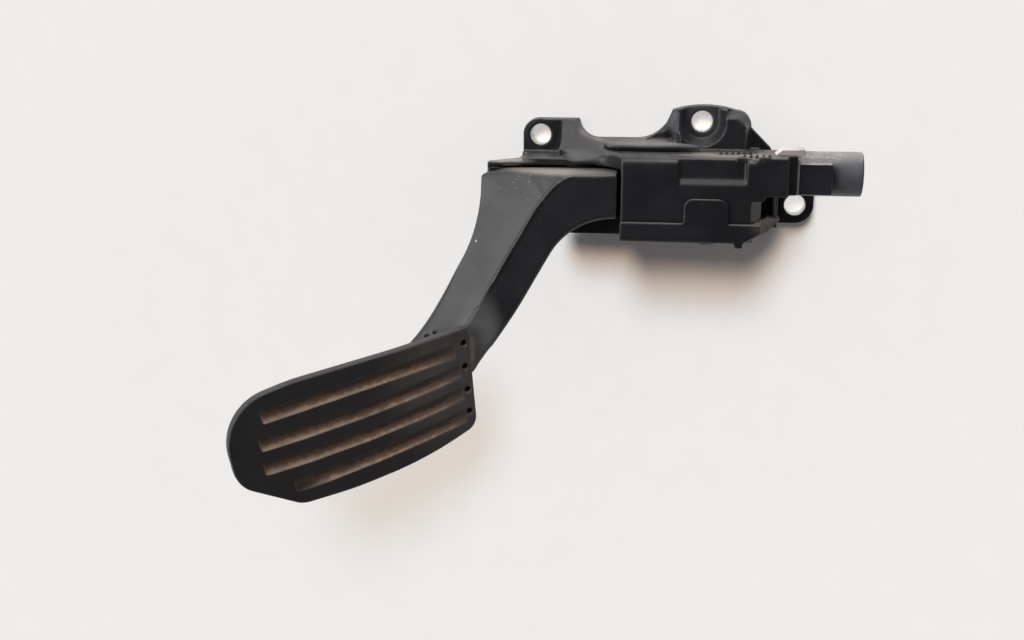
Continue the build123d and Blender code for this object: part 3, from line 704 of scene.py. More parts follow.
def block(low: Point, high: Point) -> bpy.types.Mesh:
    """Returns a box between two corners."""
    outline = [(low[0], low[1]), (high[0], low[1]), (high[0], high[1]), (low[0], high[1])]
    return prism(outline, Axis.Z, low[2], high[2])


def wedge(tops: list[Point], base: float) -> bpy.types.Mesh:
    """Returns a solid on a level base, with its own height at each corner of its outline."""
    return skin([[(x, y, base) for x, y, _ in tops], tops])


def turned(
    x: float, y: float, profile: Outline, start: float = 0.0, sweep: float = 360.0, steps: int = 48
) -> bpy.types.Mesh:
    """Turns a profile about an upright axis.

    Args:
        x: the axis' place.
        y: the axis' place.
        profile: corners as radius and height.
        start: the first angle, in degrees.
        sweep: how far it turns.
        steps: how many facets it gets.

    Returns:
        The solid's mesh.
    """
    whole = sweep >= 360.0
    rows = []
    for step in range(steps if whole else steps + 1):
        angle = math.radians(start + sweep * step / steps)
        rows.append([(x + r * math.cos(angle), y + r * math.sin(angle), z) for r, z in profile])
    return skin(rows, whole)


def circle(x: float, y: float, radius: float, count: int = 32) -> Outline:
    """Returns the corners of a circle's outline."""
    turns = [2 * math.pi * n / count for n in range(count)]
    return [(x + radius * math.cos(t), y + radius * math.sin(t)) for t in turns]


def bar(
    points: list[Point], radius: float, facets: int = 4, smoothness: int = 8
) -> bpy.types.Mesh:
    """Makes a round bar along a smooth open path.

    Args:
        points: the path, in millimetres.
        radius: the bar's radius, in millimetres.
        facets: how finely it is round.
        smoothness: how finely the path is divided.

    Returns:
        The bar's closed mesh.
    """
    curve = bpy.data.curves.new("bar", "CURVE")
    curve.dimensions = "3D"
    curve.bevel_depth = radius * MM
    curve.bevel_resolution = facets
    curve.use_fill_caps = True
    spline = curve.splines.new("NURBS")
    spline.points.add(len(points) - 1)
    for knot, point in zip(spline.points, points):
        knot.co = (*(c * MM for c in point), 1.0)
    spline.order_u = 3
    spline.use_endpoint_u = True
    spline.resolution_u = smoothness
    mesh = evaluated(mesh_object("bar", curve))
    bm = bmesh.new()
    bm.from_mesh(mesh)
    bpy.data.meshes.remove(mesh)
    return closed_mesh(bm, "bar")


def dome(centre: Point, radii: Point, facets: int = 16) -> bpy.types.Mesh:
    """Makes an ellipsoid.

    Args:
        centre: its middle, in millimetres.
        radii: its three radii, in millimetres.
        facets: how finely it is divided from pole to pole.

    Returns:
        The ellipsoid's mesh.
    """
    bm = bmesh.new()
    bmesh.ops.create_uvsphere(bm, u_segments=2 * facets, v_segments=facets, radius=1.0)
    for vert in bm.verts:
        vert.co = Vector((centre[n] + radii[n] * vert.co[n]) * MM for n in range(3))
    return closed_mesh(bm, "dome")


def grown(path: bpy.types.Object, tree: bpy.types.NodeTree, values: dict) -> bpy.types.Object:
    """Runs a Geometry Nodes tree on an object and returns the result as a plain one.

    Args:
        path: the object that the tree works on, which is used up.
        tree: the Geometry Nodes tree.
        values: the tree's inputs by name.

    Returns:
        A new object of the same name.
    """
    name = path.name
    change = path.modifiers.new("grow", "NODES")
    change.node_group = tree
    for item in tree.interface.items_tree:
        if item.name in values:
            change[item.identifier] = values[item.name]
    return mesh_object(name, evaluated(path))


def mesh_arrays(mesh: bpy.types.Mesh) -> tuple[np.ndarray, np.ndarray, np.ndarray]:
    """Reads a mesh into arrays.

    Args:
        mesh: the mesh to read.

    Returns:
        Its vertex places, and the start and end of each edge, both ways round.
    """
    places = np.empty(len(mesh.vertices) * 3)
    mesh.vertices.foreach_get("co", places)
    pairs = np.empty(len(mesh.edges) * 2, dtype=np.int64)
    mesh.edges.foreach_get("vertices", pairs)
    pairs = pairs.reshape(-1, 2)
    start, end = np.concatenate((pairs, pairs[:, ::-1])).T
    return places.reshape(-1, 3), start, end


def mark_edges(mesh: bpy.types.Mesh, gain: float) -> None:
    """Stores how convex the surface is at each vertex, as the attribute named edge.

    Args:
        mesh: a finished mesh.
        gain: the scale from bend to attribute.
    """
    places, start, end = mesh_arrays(mesh)
    count = len(places)
    normals = np.empty(count * 3)
    mesh.vertex_normals.foreach_get("vector", normals)
    normals = normals.reshape(-1, 3)
    step = places[end] - places[start]
    length = np.linalg.norm(step, axis=1) + TINY
    sink = -np.einsum("ij,ij->i", step, normals[start]) / length
    degree = np.maximum(np.bincount(start, minlength=count), 1)
    bend = np.bincount(start, weights=sink, minlength=count) / degree
    bend = 0.5 * bend + 0.5 * np.bincount(start, weights=bend[end], minlength=count) / degree
    layer = mesh.attributes.new("edge", "FLOAT", "POINT")
    layer.data.foreach_set("value", np.clip(bend * gain, 0.0, 1.0).astype(np.float32))


@dataclass(frozen=True)
class SoftSpot:
    """A place that is rounded more than the rest: an ellipsoid in millimetres."""

    centre: Point
    radii: Point


def soften(mesh: bpy.types.Mesh, spots: list[SoftSpot], rounds: int) -> None:
    """Rounds a mesh further inside some spots.

    Args:
        mesh: an even mesh.
        spots: where to round it.
        rounds: how often each vertex moves halfway to its neighbours' middle.
    """
    halfway, fade = 0.5, 2.0
    places, start, end = mesh_arrays(mesh)
    count = len(places)
    weight = np.zeros(count)
    for spot in spots:
        reach = np.linalg.norm((places / MM - spot.centre) / spot.radii, axis=1)
        weight = np.maximum(weight, np.clip(fade * (1.0 - reach), 0.0, 1.0))
    inside = weight[start] > 0.0
    start, end = start[inside], end[inside]
    degree = np.maximum(np.bincount(start, minlength=count), 1)
    live = np.flatnonzero(weight)
    pull = halfway * weight[live, None]
    for _ in range(rounds):
        sums = [np.bincount(start, weights=places[end, n], minlength=count)[live] for n in range(3)]
        places[live] += pull * (np.stack(sums, axis=1) / degree[live, None] - places[live])
    mesh.vertices.foreach_set("co", places.ravel())
    mesh.update()


def carve(mesh: bpy.types.Mesh, cutters: list[bpy.types.Mesh]) -> bpy.types.Mesh:
    """Takes all cutters from a closed mesh.

    Args:
        mesh: the solid to cut.
        cutters: closed meshes.

    Returns:
        What is left of the solid.
    """
    solid = mesh_object("carved", mesh)
    tools = [mesh_object("cutter", cutter) for cutter in cutters]
    for tool in tools:
        change = solid.modifiers.new("cut", "BOOLEAN")
        change.operation, change.solver, change.object = "DIFFERENCE", "EXACT", tool
    result = evaluated(solid)
    for tool in tools:
        bpy.data.objects.remove(tool)
    return result


@dataclass(frozen=True)
class Slab:
    """An outline extruded between two places along an axis, in millimetres."""

    outline: tuple[Span, ...]
    axis: Axis
    low: float
    high: float

    def mesh(self) -> bpy.types.Mesh:
        """Returns the slab's closed mesh."""
        return prism(list(self.outline), self.axis, self.low, self.high)


@dataclass(frozen=True)
class Box:
    """A box between two corners, in millimetres."""

    low: Point
    high: Point

    def mesh(self) -> bpy.types.Mesh:
        """Returns the box's closed mesh."""
        return block(self.low, self.high)


@dataclass(frozen=True)
class Web:
    """A solid on a level base, with its own height at each corner, in millimetres."""

    tops: tuple[Point, ...]
    base: float

    def mesh(self) -> bpy.types.Mesh:
        """Returns the web's closed mesh."""
        return wedge(list(self.tops), self.base)


@dataclass
class Moulding:
    """A moulded piece: a solid with parts cut from it and fused to it, all edges rounded."""

    name: str
    body: Body
    slot: str
    replaced: tuple[str, ...]
    finish: MouldedFinish
    voxel: float = 0.45
    rounds: int = 3
    triangles: int = 150_000
    longest: float = 4.0
    splits: int = 3
    edge_gain: float = 4.0
    soft_rounds: int = 90
    solid: bpy.types.Mesh | None = None
    cuts: list[bpy.types.Mesh] = field(default_factory=list)
    adds: list[bpy.types.Mesh] = field(default_factory=list)
    spots: list[SoftSpot] = field(default_factory=list)

    def core(self) -> bpy.types.Mesh:
        """Finds the solid to start from.

        Returns:
            The piece's own solid, or else a merged copy of the CAD node's mesh.
        """
        if self.solid:
            return self.solid
        bm = bmesh.new()
        bm.from_mesh(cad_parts[self.replaced[0]].data)
        bmesh.ops.remove_doubles(bm, verts=bm.verts, dist=1e-6)
        mesh = bpy.data.meshes.new(self.name)
        bm.to_mesh(mesh)
        bm.free()
        return mesh

    def fuse(self, mesh: bpy.types.Mesh) -> bpy.types.Mesh:
        """Joins the added solids to the mesh and rounds the whole.

        Args:
            mesh: the cut solid.

        Returns:
            One closed rounded mesh.
        """
        bm = bmesh.new()
        for source in (mesh, *self.adds):
            bm.from_mesh(source)
        joined = bpy.data.meshes.new(self.name)
        bm.to_mesh(joined)
        bm.free()
        solid = mesh_object(self.name, joined)
        fused = solid.modifiers.new("fuse", "REMESH")
        fused.mode, fused.voxel_size = "VOXEL", self.voxel * MM
        soft = solid.modifiers.new("round", "SMOOTH")
        soft.factor, soft.iterations = 0.5, self.rounds
        rounded = evaluated(solid)
        if self.spots:
            soften(rounded, self.spots, self.soft_rounds)
        share = self.triangles / max(1, 2 * len(rounded.polygons))
        if share < 1.0:
            solid = mesh_object(self.name, rounded)
            thin = solid.modifiers.new("thin", "DECIMATE")
            thin.ratio = share
            rounded = evaluated(solid)
        return self.even(rounded)

    def even(self, mesh: bpy.types.Mesh) -> bpy.types.Mesh:
        """Splits long edges, so that what is stored per vertex stays local, and shades smooth.

        Args:
            mesh: the rounded mesh, which is changed.

        Returns:
            The same mesh, inside the CAD's box.
        """
        bm = bmesh.new()
        bm.from_mesh(mesh)
        for _ in range(self.splits):
            far = [e for e in bm.edges if e.calc_length() > self.longest * MM]
            bmesh.ops.subdivide_edges(bm, edges=far, cuts=1)
            bmesh.ops.triangulate(bm, faces=[f for f in bm.faces if len(f.verts) > 4])
        bmesh.ops.triangulate(bm, faces=bm.faces)
        for face in bm.faces:
            face.smooth = True
        for vert in bm.verts:
            vert.co = Vector(np.clip(vert.co, *CAD_BOX))
        bm.to_mesh(mesh)
        bm.free()
        mark_edges(mesh, self.edge_gain)
        return mesh

    def build(self) -> bpy.types.Object:
        """Makes the piece, dresses it and puts it on its body.

        Returns:
            The finished object.
        """
        made = mesh_object(self.name, self.fuse(carve(self.core(), self.cuts)))
        made.data.materials.clear()
        made.data.materials.append(self.finish.material())
        for polygon in made.data.polygons:
            polygon.material_index = 0
        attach(made, self.body.value)
        if self.replaced:
            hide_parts(*self.replaced)
        log.info("%s: %d triangles", made.name, len(made.data.polygons))
        return made


# Sub-assemblies


@dataclass
class HousingShell:
    """The housing's moulding: flange, bearing boss, body and connector base, with its details."""

    sleeve_mouths: tuple[Span, ...] = ((0.0, 0.0), (70.0, 6.5), (111.0, -29.0))
    mouth_radii: Span = (4.6, 6.9)
    mouth_root: float = 0.4
    mouth_rim: float = 0.1
    mouth_height: float = 0.35
    flange_face: float = 9.0
    crescent: tuple[Span, ...] = ((7.2, 8.7), (10.6, 8.7), (10.6, 15.6))
    crescent_ends: Span = (-0.1, 5.5)
    ear_slope: Slab = Slab(((56.4, 9.1), (61.2, 17.4), (56.0, 18.0)), Axis.Y, -9.0, 16.0)
    body_slot: Slab = Slab(
        ((43.8, 37.9), (56.2, 37.4), (56.2, 38.9), (43.8, 39.4)), Axis.Y, -6.2, -4.5
    )
    body_corner: Slab = Slab(((90.2, 48.4), (95.6, 41.4), (95.6, 48.4)), Axis.Y, -32.0, -22.3)
    base_top: Box = Box((104.0, -4.45, 20.0), (114.0, 1.0, 40.0))
    base_bottom: Box = Box((96.2, -24.0, 15.0), (110.0, -20.1, 50.0))
    strip_step: Box = Box((36.0, -6.8, 25.8), (66.0, -4.0, 31.0))
    plate_trim: Slab = Slab(
        ((-21.0, -9.5), (-5.0, -8.5), (-5.0, -5.0), (-21.0, -5.0)), Axis.Z, 12.0, 37.0
    )
    plate_lip: Slab = Slab(
        ((-20.0, -12.2), (-16.0, -11.2), (-11.0, -10.3), (-11.0, -9.8), (-20.0, -9.8)),
        Axis.Z, 29.0, 34.0,
    )
    saddle_web: Web = Web(
        ((24.0, -1.8, 9.2), (58.0, -1.8, 9.2), (58.0, -4.6, 19.0), (24.0, -4.6, 19.0)), 6.0
    )
    ear_web: Web = Web(
        ((44.0, -1.8, 9.2), (50.0, 0.6, 9.4), (54.4, 5.0, 9.6), (57.0, 10.6, 10.0),
         (60.6, 10.4, 16.4), (60.6, 1.0, 16.6), (55.4, 3.4, 12.6), (46.0, -1.4, 10.2)), 6.0,
    )
    tabs: tuple[Box, ...] = (
        Box((84.6, -5.8, 44.5), (88.6, -4.1, 48.3)), Box((93.3, -5.9, 44.5), (97.4, -4.0, 48.3)),
    )
    clip: Slab = Slab(
        ((83.4, -9.4), (86.2, -9.4), (87.2, -8.2), (84.6, -8.2)), Axis.Z, 44.5, 46.4
    )
    ear_rib: Box = Box((100.0, -34.0, 8.0), (101.7, -22.0, 30.0))
    corner_rib: Slab = Slab(((87.6, 45.4), (92.2, 45.4), (92.2, 40.6)), Axis.Y, -31.4, -20.0)
    latch_form: Slab = Slab(
        ((99.6, -5.2), (103.0, -2.4), (112.2, -2.2), (112.2, -5.0), (106.0, -6.4), (99.6, -6.4)),
        Axis.Z, 25.0, 35.0,
    )
    soft_spots: tuple[SoftSpot, ...] = (
        SoftSpot((23.0, -2.0, 23.0), (14.0, 11.0, 20.0)),
        SoftSpot((54.0, 6.0, 12.0), (6.0, 8.0, 6.0)),
        SoftSpot((17.0, 7.5, 16.0), (7.0, 6.0, 14.0)),
        SoftSpot((89.0, 9.8, 14.0), (5.0, 5.0, 7.0)),
    )
    bead: tuple[Point, ...] = (
        (33.0, -3.6, 16.0), (29.6, -3.5, 21.0), (33.0, -3.4, 24.0), (48.0, -3.4, 24.4),
        (62.0, -3.4, 24.2), (69.0, -4.4, 23.4),
    )
    bead_radius: float = 2.1
    rail: tuple[Point, ...] = (
        (30.5, -3.6, 17.0), (33.5, -2.8, 13.5), (45.0, -2.5, 13.2), (59.0, -2.8, 13.2),
    )
    rail_radius: float = 0.9
    pitch: float = 2.4
    tooth_width: float = 1.15
    tooth_height: float = 1.5
    teeth: tuple[tuple[Point, Point], ...] = (
        ((78.1, -5.0, 31.9), (92.6, -5.0, 29.9)), ((87.4, -4.6, 46.2), (97.4, -4.6, 45.0)),
    )
    finish: MouldedFinish = MouldedFinish(
        "housing_plastic_dusty", (0.0062, 0.006, 0.0086), 0.44, dust=0.16,
        dust_range=(0.6, 0.99), wear=0.14, specks=0.0, soil_and_light_patches=(
            SoilAndLightPatch((100.9, -28.0, 30.0), (3.0, 9.0, 3.0), (0.3, 0.27, 0.24), 0.9, least=0.4),
            SoilAndLightPatch((20.5, 3.2, 13.0), (4.5, 5.0, 9.0), (0.34, 0.27, 0.21), 0.75, least=0.4),
            SoilAndLightPatch((27.5, -0.6, 12.0), (7.0, 2.4, 7.0), (0.32, 0.26, 0.2), 0.75, least=0.4),
            SoilAndLightPatch((44.0, -2.5, 14.0), (20.0, 4.0, 9.0), (0.21, 0.197, 0.187), 0.85, least=0.5),
            SoilAndLightPatch((47.0, -1.4, 24.0), (26.0, 2.8, 5.0), (0.2, 0.185, 0.175), 0.9, least=0.7),
            SoilAndLightPatch((42.0, -5.0, 41.0), (17.0, 2.5, 11.0), (0.006, 0.006, 0.008), 0.7, least=0.7),
            SoilAndLightPatch((22.0, -4.0, 22.0), (9.0, 6.0, 12.0), (0.052, 0.049, 0.048), 0.75, least=0.6),
            SoilAndLightPatch((80.0, -5.0, 34.0), (26.0, 3.0, 14.0), (0.26, 0.225, 0.195), 0.9, least=0.5),
            SoilAndLightPatch((92.0, -5.0, 42.0), (10.0, 3.0, 9.0), (0.42, 0.41, 0.4), 0.5),
            SoilAndLightPatch((-11.0, -8.8, 31.0), (15.0, 1.7, 8.0), (0.3, 0.27, 0.25), 0.95, least=0.7),
            SoilAndLightPatch((58.5, 6.0, 13.0), (4.5, 9.0, 6.0), (0.07, 0.072, 0.082), 0.9, least=0.7),
            SoilAndLightPatch((70.0, 6.5, 10.0), (12.0, 11.0, 4.0), (0.04, 0.036, 0.046), 0.9, least=0.8),
        ),
    )
    latch_finish: MouldedFinish = MouldedFinish(
        "latch_plastic_pale", (0.33, 0.3, 0.29), 0.55, dust=0.8, dust_range=(0.1, 0.6),
        dust_colour=(0.8, 0.73, 0.72), wear=0.2, specks=0.0,
    )
    tooth_finish: MouldedFinish = MouldedFinish(
        "teeth_plastic_dark", (0.006, 0.006, 0.008), 0.5, dust=0.0, wear=0.0
    )

    def cutters(self) -> list[bpy.types.Mesh]:
        """Makes what is cut away beside the top ear, on the body, the base and the plate.

        Returns:
            The cutters' meshes.
        """
        forms = (
            self.ear_slope, self.body_slot, self.body_corner, self.base_top, self.base_bottom,
            self.strip_step, self.plate_trim,
        )
        return [form.mesh() for form in forms]

    def additions(self) -> list[bpy.types.Mesh]:
        """Makes what is fused on: sleeve mouths, the top ear's crescent, webs, rail, tabs and ribs.

        Returns:
            The added solids' meshes.
        """
        inner, outer = self.mouth_radii
        root, rim = self.flange_face - self.mouth_root, self.flange_face + self.mouth_rim
        top = self.flange_face + self.mouth_height
        mouth = [(inner, root), (outer, root), (outer, rim), (inner, top)]
        made = [turned(x, y, mouth) for x, y in self.sleeve_mouths]
        hole_x, hole_y = self.sleeve_mouths[1]
        made.append(turned(hole_x, hole_y, list(self.crescent), 180.0, 180.0))
        low, high = (hole_y + end for end in self.crescent_ends)
        for side in (-1, 1):
            outline = [(hole_x + side * radius, level) for radius, level in self.crescent]
            made.append(prism(outline, Axis.Y, low, high))
        made += [self.saddle_web.mesh(), self.ear_web.mesh(), bar(list(self.rail), self.rail_radius)]
        forms = (self.plate_lip, *self.tabs, self.clip, self.ear_rib, self.corner_rib)
        return made + [form.mesh() for form in forms]

    def tooth_tree(self) -> bpy.types.NodeTree:
        """Builds the Geometry Nodes tree that sets a small pyramid on each point of a row.

        Returns:
            The tree.
        """
        inputs = {"Geometry": GEOMETRY, "Width": FLOAT, "Height": FLOAT, "Finish": FINISH}
        tree, sockets, out = new_group(
            "strip_teeth", inputs, {"Geometry": GEOMETRY}, "GeometryNodeTree"
        )
        tooth = tree.node(
            "GeometryNodeMeshCone", None, Vertices=4, Radius_Bottom=sockets["Width"],
            Depth=sockets["Height"],
        )
        rows = tree.node(
            "GeometryNodeInstanceOnPoints", None, Points=sockets["Geometry"],
            Instance=tooth.outputs[0],
        )
        rows.inputs["Rotation"].default_value = (-math.pi / 2, 0.0, 0.0)
        tree.dress(rows.outputs[0], sockets["Finish"], out)
        return tree.tree

    def build_teeth(self) -> None:
        """Sets both rows of teeth on the body's top strip."""
        material = self.tooth_finish.material()
        mesh = bpy.data.meshes.new("strip_teeth")
        places = []
        for start, end in self.teeth:
            first, last = Vector(start) * MM, Vector(end) * MM
            count = round((last - first).length / (self.pitch * MM))
            places += [first.lerp(last, n / count) for n in range(count + 1)]
        mesh.from_pydata(places, [], [])
        width, height = self.tooth_width * MM, self.tooth_height * MM
        values = {"Width": width, "Height": height, "Finish": material}
        teeth = grown(mesh_object("strip_teeth", mesh), self.tooth_tree(), values)
        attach(teeth, Body.HOUSING.value)
        log.info("%s: %d faces", teeth.name, len(teeth.data.polygons))

    def build(self) -> None:
        """Makes the shell, its bead, its latch and its teeth."""
        shell = Moulding(
            "housing_shell", Body.HOUSING, "housing_plastic", ("housing",), self.finish,
            soft_rounds=350,
        )
        shell.cuts = self.cutters()
        shell.adds = self.additions()
        shell.spots = list(self.soft_spots)
        shell.build()
        bead = Moulding(
            "saddle_bead", Body.HOUSING, "housing_plastic", (), self.finish, voxel=0.3, rounds=2,
            triangles=30_000,
        )
        bead.solid = bar(list(self.bead), self.bead_radius)
        bead.build()
        latch = Moulding(
            "connector_latch", Body.HOUSING, "housing_plastic", (), self.latch_finish,
            voxel=0.25, rounds=1,
        )
        latch.solid = self.latch_form.mesh()
        latch.build()
        self.build_teeth()


@dataclass
class CoverShell:
    """The lower cover with its band, its tongue, its feet and the lip beside the right ear."""

    foot_centre: Point = (73.0, -39.6, 44.0)
    foot_radii: Point = (6.6, 1.6, 4.0)
    peg: Box = Box((84.6, -41.4, 38.0), (87.8, -38.0, 48.6))
    lip: Web = Web(
        ((86.0, -31.6, 48.8), (92.0, -31.4, 46.0), (97.6, -29.4, 41.0), (103.7, -31.6, 33.0),
         (98.0, -36.0, 40.0), (88.0, -39.0, 48.0)), 24.0,
    )
    finish: MouldedFinish = MouldedFinish(
        "cover_plastic_dusty", (0.006, 0.0058, 0.0084), 0.44, dust=0.3, dust_range=(0.6, 0.99),
        wear=0.12, specks=0.0, soil_and_light_patches=(
            SoilAndLightPatch((97.0, -33.0, 41.0), (11.0, 6.0, 12.0), (0.2, 0.175, 0.155), 0.85, least=0.45),
        ),
    )

    def build(self) -> None:
        """Makes the cover."""
        cover = Moulding("cover_shell", Body.HOUSING, "housing_plastic", ("side_cover",), self.finish)
        cover.adds = [dome(self.foot_centre, self.foot_radii), self.peg.mesh(), self.lip.mesh()]
        cover.build()


@dataclass(frozen=True)
class Groove:
    """A groove of the pad, in millimetres, with the depth of its outer end as a share."""

    drops: Point
    start: float
    end: float
    fade: float = 0.95


@dataclass
class PadShell:
    """The foot pad: a rounded plate with four scooped grooves, each with a dimple before it."""

    origin: Point = (-25.2, -77.1, 55.1)
    tilt: float = 31.8
    turn: float = 12.9
    thickness: float = 5.0
    corners: tuple[tuple[float, float, float], ...] = (
        (-0.4, -0.6, 2.5), (32.0, -0.5, 300.0), (78.0, -2.6, 90.0), (109.8, -0.6, 22.0),
        (110.2, 33.0, 12.5), (87.0, 49.8, 10.0), (64.0, 51.5, 150.0), (32.0, 50.5, 150.0),
        (5.6, 43.8, 7.0),
    )
    edge: float = 1.0
    edge_steps: int = 4
    back_edge: float = 0.4
    stations: Point = (6.0, 55.0, 95.0)
    grooves: tuple[Groove, ...] = (
        Groove((8.5, 8.3, 7.7), 8.0, 93.5), Groove((17.7, 20.0, 19.0), 7.5, 97.0),
        Groove((27.4, 30.5, 29.4), 8.5, 98.0), Groove((37.4, 41.0, 40.9), 9.5, 88.0, 0.3),
    )
    groove_rise: tuple[Span, ...] = ((0.0, 0.35), (0.1, 0.8), (0.25, 1.0), (0.5, 1.0), (0.8, 1.0))
    groove_runout: float = 0.96
    groove_curve: float = 2.4
    groove_facets: int = 8
    clearance: float = 2.0
    groove_width: float = 5.9
    groove_depth: float = 1.6
    dimples: tuple[Span, ...] = ((3.4, 6.1), (5.1, 16.3), (6.3, 26.6), (7.7, 36.3))
    dimple_radius: float = 1.4
    dimple_depth: float = 2.6
    finish: GroovedFinish = GroovedFinish(
        "pad_plastic_soiled", (0.0092, 0.0078, 0.0082), 0.52, grain_scale=900.0, dust=0.1,
        wear=0.3, specks=0.0, soil_and_light_patches=(
            # Painted sheen: a lighter grey patch over the pad's inner end.
            SoilAndLightPatch(
                (-34.0, -100.0, 56.0), (36.0, 40.0, 40.0), (0.062, 0.054, 0.053), 0.85,
                150.0, (0.25, 0.6), 0.6,
            ),
        ),
    )

    def frame(self) -> Matrix:
        """Works out the pad's own frame: along its top edge, down its face, and out of it.

        Returns:
            The matrix from that frame to the row frame.
        """
        tilt, turn = math.radians(self.tilt), math.radians(self.turn)
        level = math.cos(turn)
        along = Vector((-level * math.cos(tilt), -math.sin(turn), level * math.sin(tilt)))
        out = Vector((math.sin(tilt), 0.0, math.cos(tilt)))
        columns = Matrix((along, out.cross(along), out)).transposed()
        return Matrix.Translation(Vector(self.origin) * MM) @ columns.to_4x4()

    def spot(self, along: float, drop: float, level: float) -> Point:
        """Returns a point of the pad's own frame in the row frame, both in millimetres."""
        return tuple(self.frame() @ (Vector((along, drop, level)) * MM) / MM)

    def outline(self, inset: float, steps: int = 14) -> Outline:
        """Draws the pad's outline with rounded corners.

        Args:
            inset: how far it is set in, in millimetres.
            steps: how many parts each corner has.

        Returns:
            The outline's points.
        """
        points: Outline = []
        count = len(self.corners)
        for here in range(count):
            x, y, radius = self.corners[here]
            corner = Vector((x, y))
            before = (Vector(self.corners[here - 1][:2]) - corner).normalized()
            after = (Vector(self.corners[(here + 1) % count][:2]) - corner).normalized()
            half = before.angle(after) / 2
            inward = (before + after).normalized()
            side = 1.0 if before.x * after.y - before.y * after.x < 0.0 else -1.0
            middle = corner + inward * (radius / math.sin(half))
            first = corner + before * (radius / math.tan(half)) - middle
            turn = side * (math.pi - 2 * half)
            for step in range(steps + 1):
                spoke = Matrix.Rotation(turn * step / steps, 2) @ first
                point = middle + spoke * ((radius - side * inset) / radius)
                points.append((point.x, point.y))
        return points

    def plate(self) -> bpy.types.Mesh:
        """Makes the plain plate with its edges rounded.

        Returns:
            The plate's mesh.
        """
        low = self.back_edge * self.edge
        rings = [(low, -self.thickness), (0.0, low - self.thickness)]
        for step in range(self.edge_steps + 1):
            turn = math.pi / 2 * step / self.edge_steps
            rings.append((self.edge * (1 - math.cos(turn)), self.edge * (math.sin(turn) - 1)))
        return skin([[(u, v, level) for u, v in self.outline(inset)] for inset, level in rings])

    def middle(self, drops: Point, along: float) -> float:
        """Works out how far down a groove's middle lies.

        Args:
            drops: where it lies at the three stations.
            along: the place along the pad.

        Returns:
            The drop from the pad's top edge, in millimetres.
        """
        total = 0.0
        for here, drop in zip(self.stations, drops):
            share = drop
            for other in self.stations:
                if other != here:
                    share *= (along - other) / (here - other)
            total += share
        return total

    def groove(self, form: Groove) -> bpy.types.Mesh:
        """Makes a groove's cutter: a scooped bar that runs out towards the inner end.

        Args:
            form: the groove's sizes.

        Returns:
            The cutter's mesh.
        """
        half = self.groove_width / 2
        runout = ((self.groove_runout, 0.5 + 0.5 * form.fade), (1.0, form.fade))
        rows = []
        for share, depth in (*self.groove_rise, *runout):
            along = form.start + (form.end - form.start) * share
            drop = self.middle(form.drops, along)
            row = []
            for step in range(self.groove_facets + 1):
                across = step / self.groove_facets * 2 - 1
                sink = self.groove_depth * depth * (1 - abs(across) ** self.groove_curve)
                row.append((along, drop + across * half, -sink))
            row += [(along, drop + side * half, self.clearance) for side in (1, -1)]
            rows.append(row)
        return skin(rows)

    def build(self) -> None:
        """Makes the pad."""
        pad = Moulding(
            "pad_shell", Body.PEDAL, "pad_plastic", ("pedal_pad",), self.finish, voxel=0.4, rounds=2
        )
        for form, (along, drop) in zip(self.grooves, self.dimples):
            dimple = circle(along, drop, self.dimple_radius)
            pad.cuts.append(self.groove(form))
            pad.cuts.append(prism(dimple, Axis.Z, -self.dimple_depth, self.clearance))
        pad.solid = self.plate()
        for mesh in (pad.solid, *pad.cuts):
            mesh.transform(self.frame())
        pad.build()


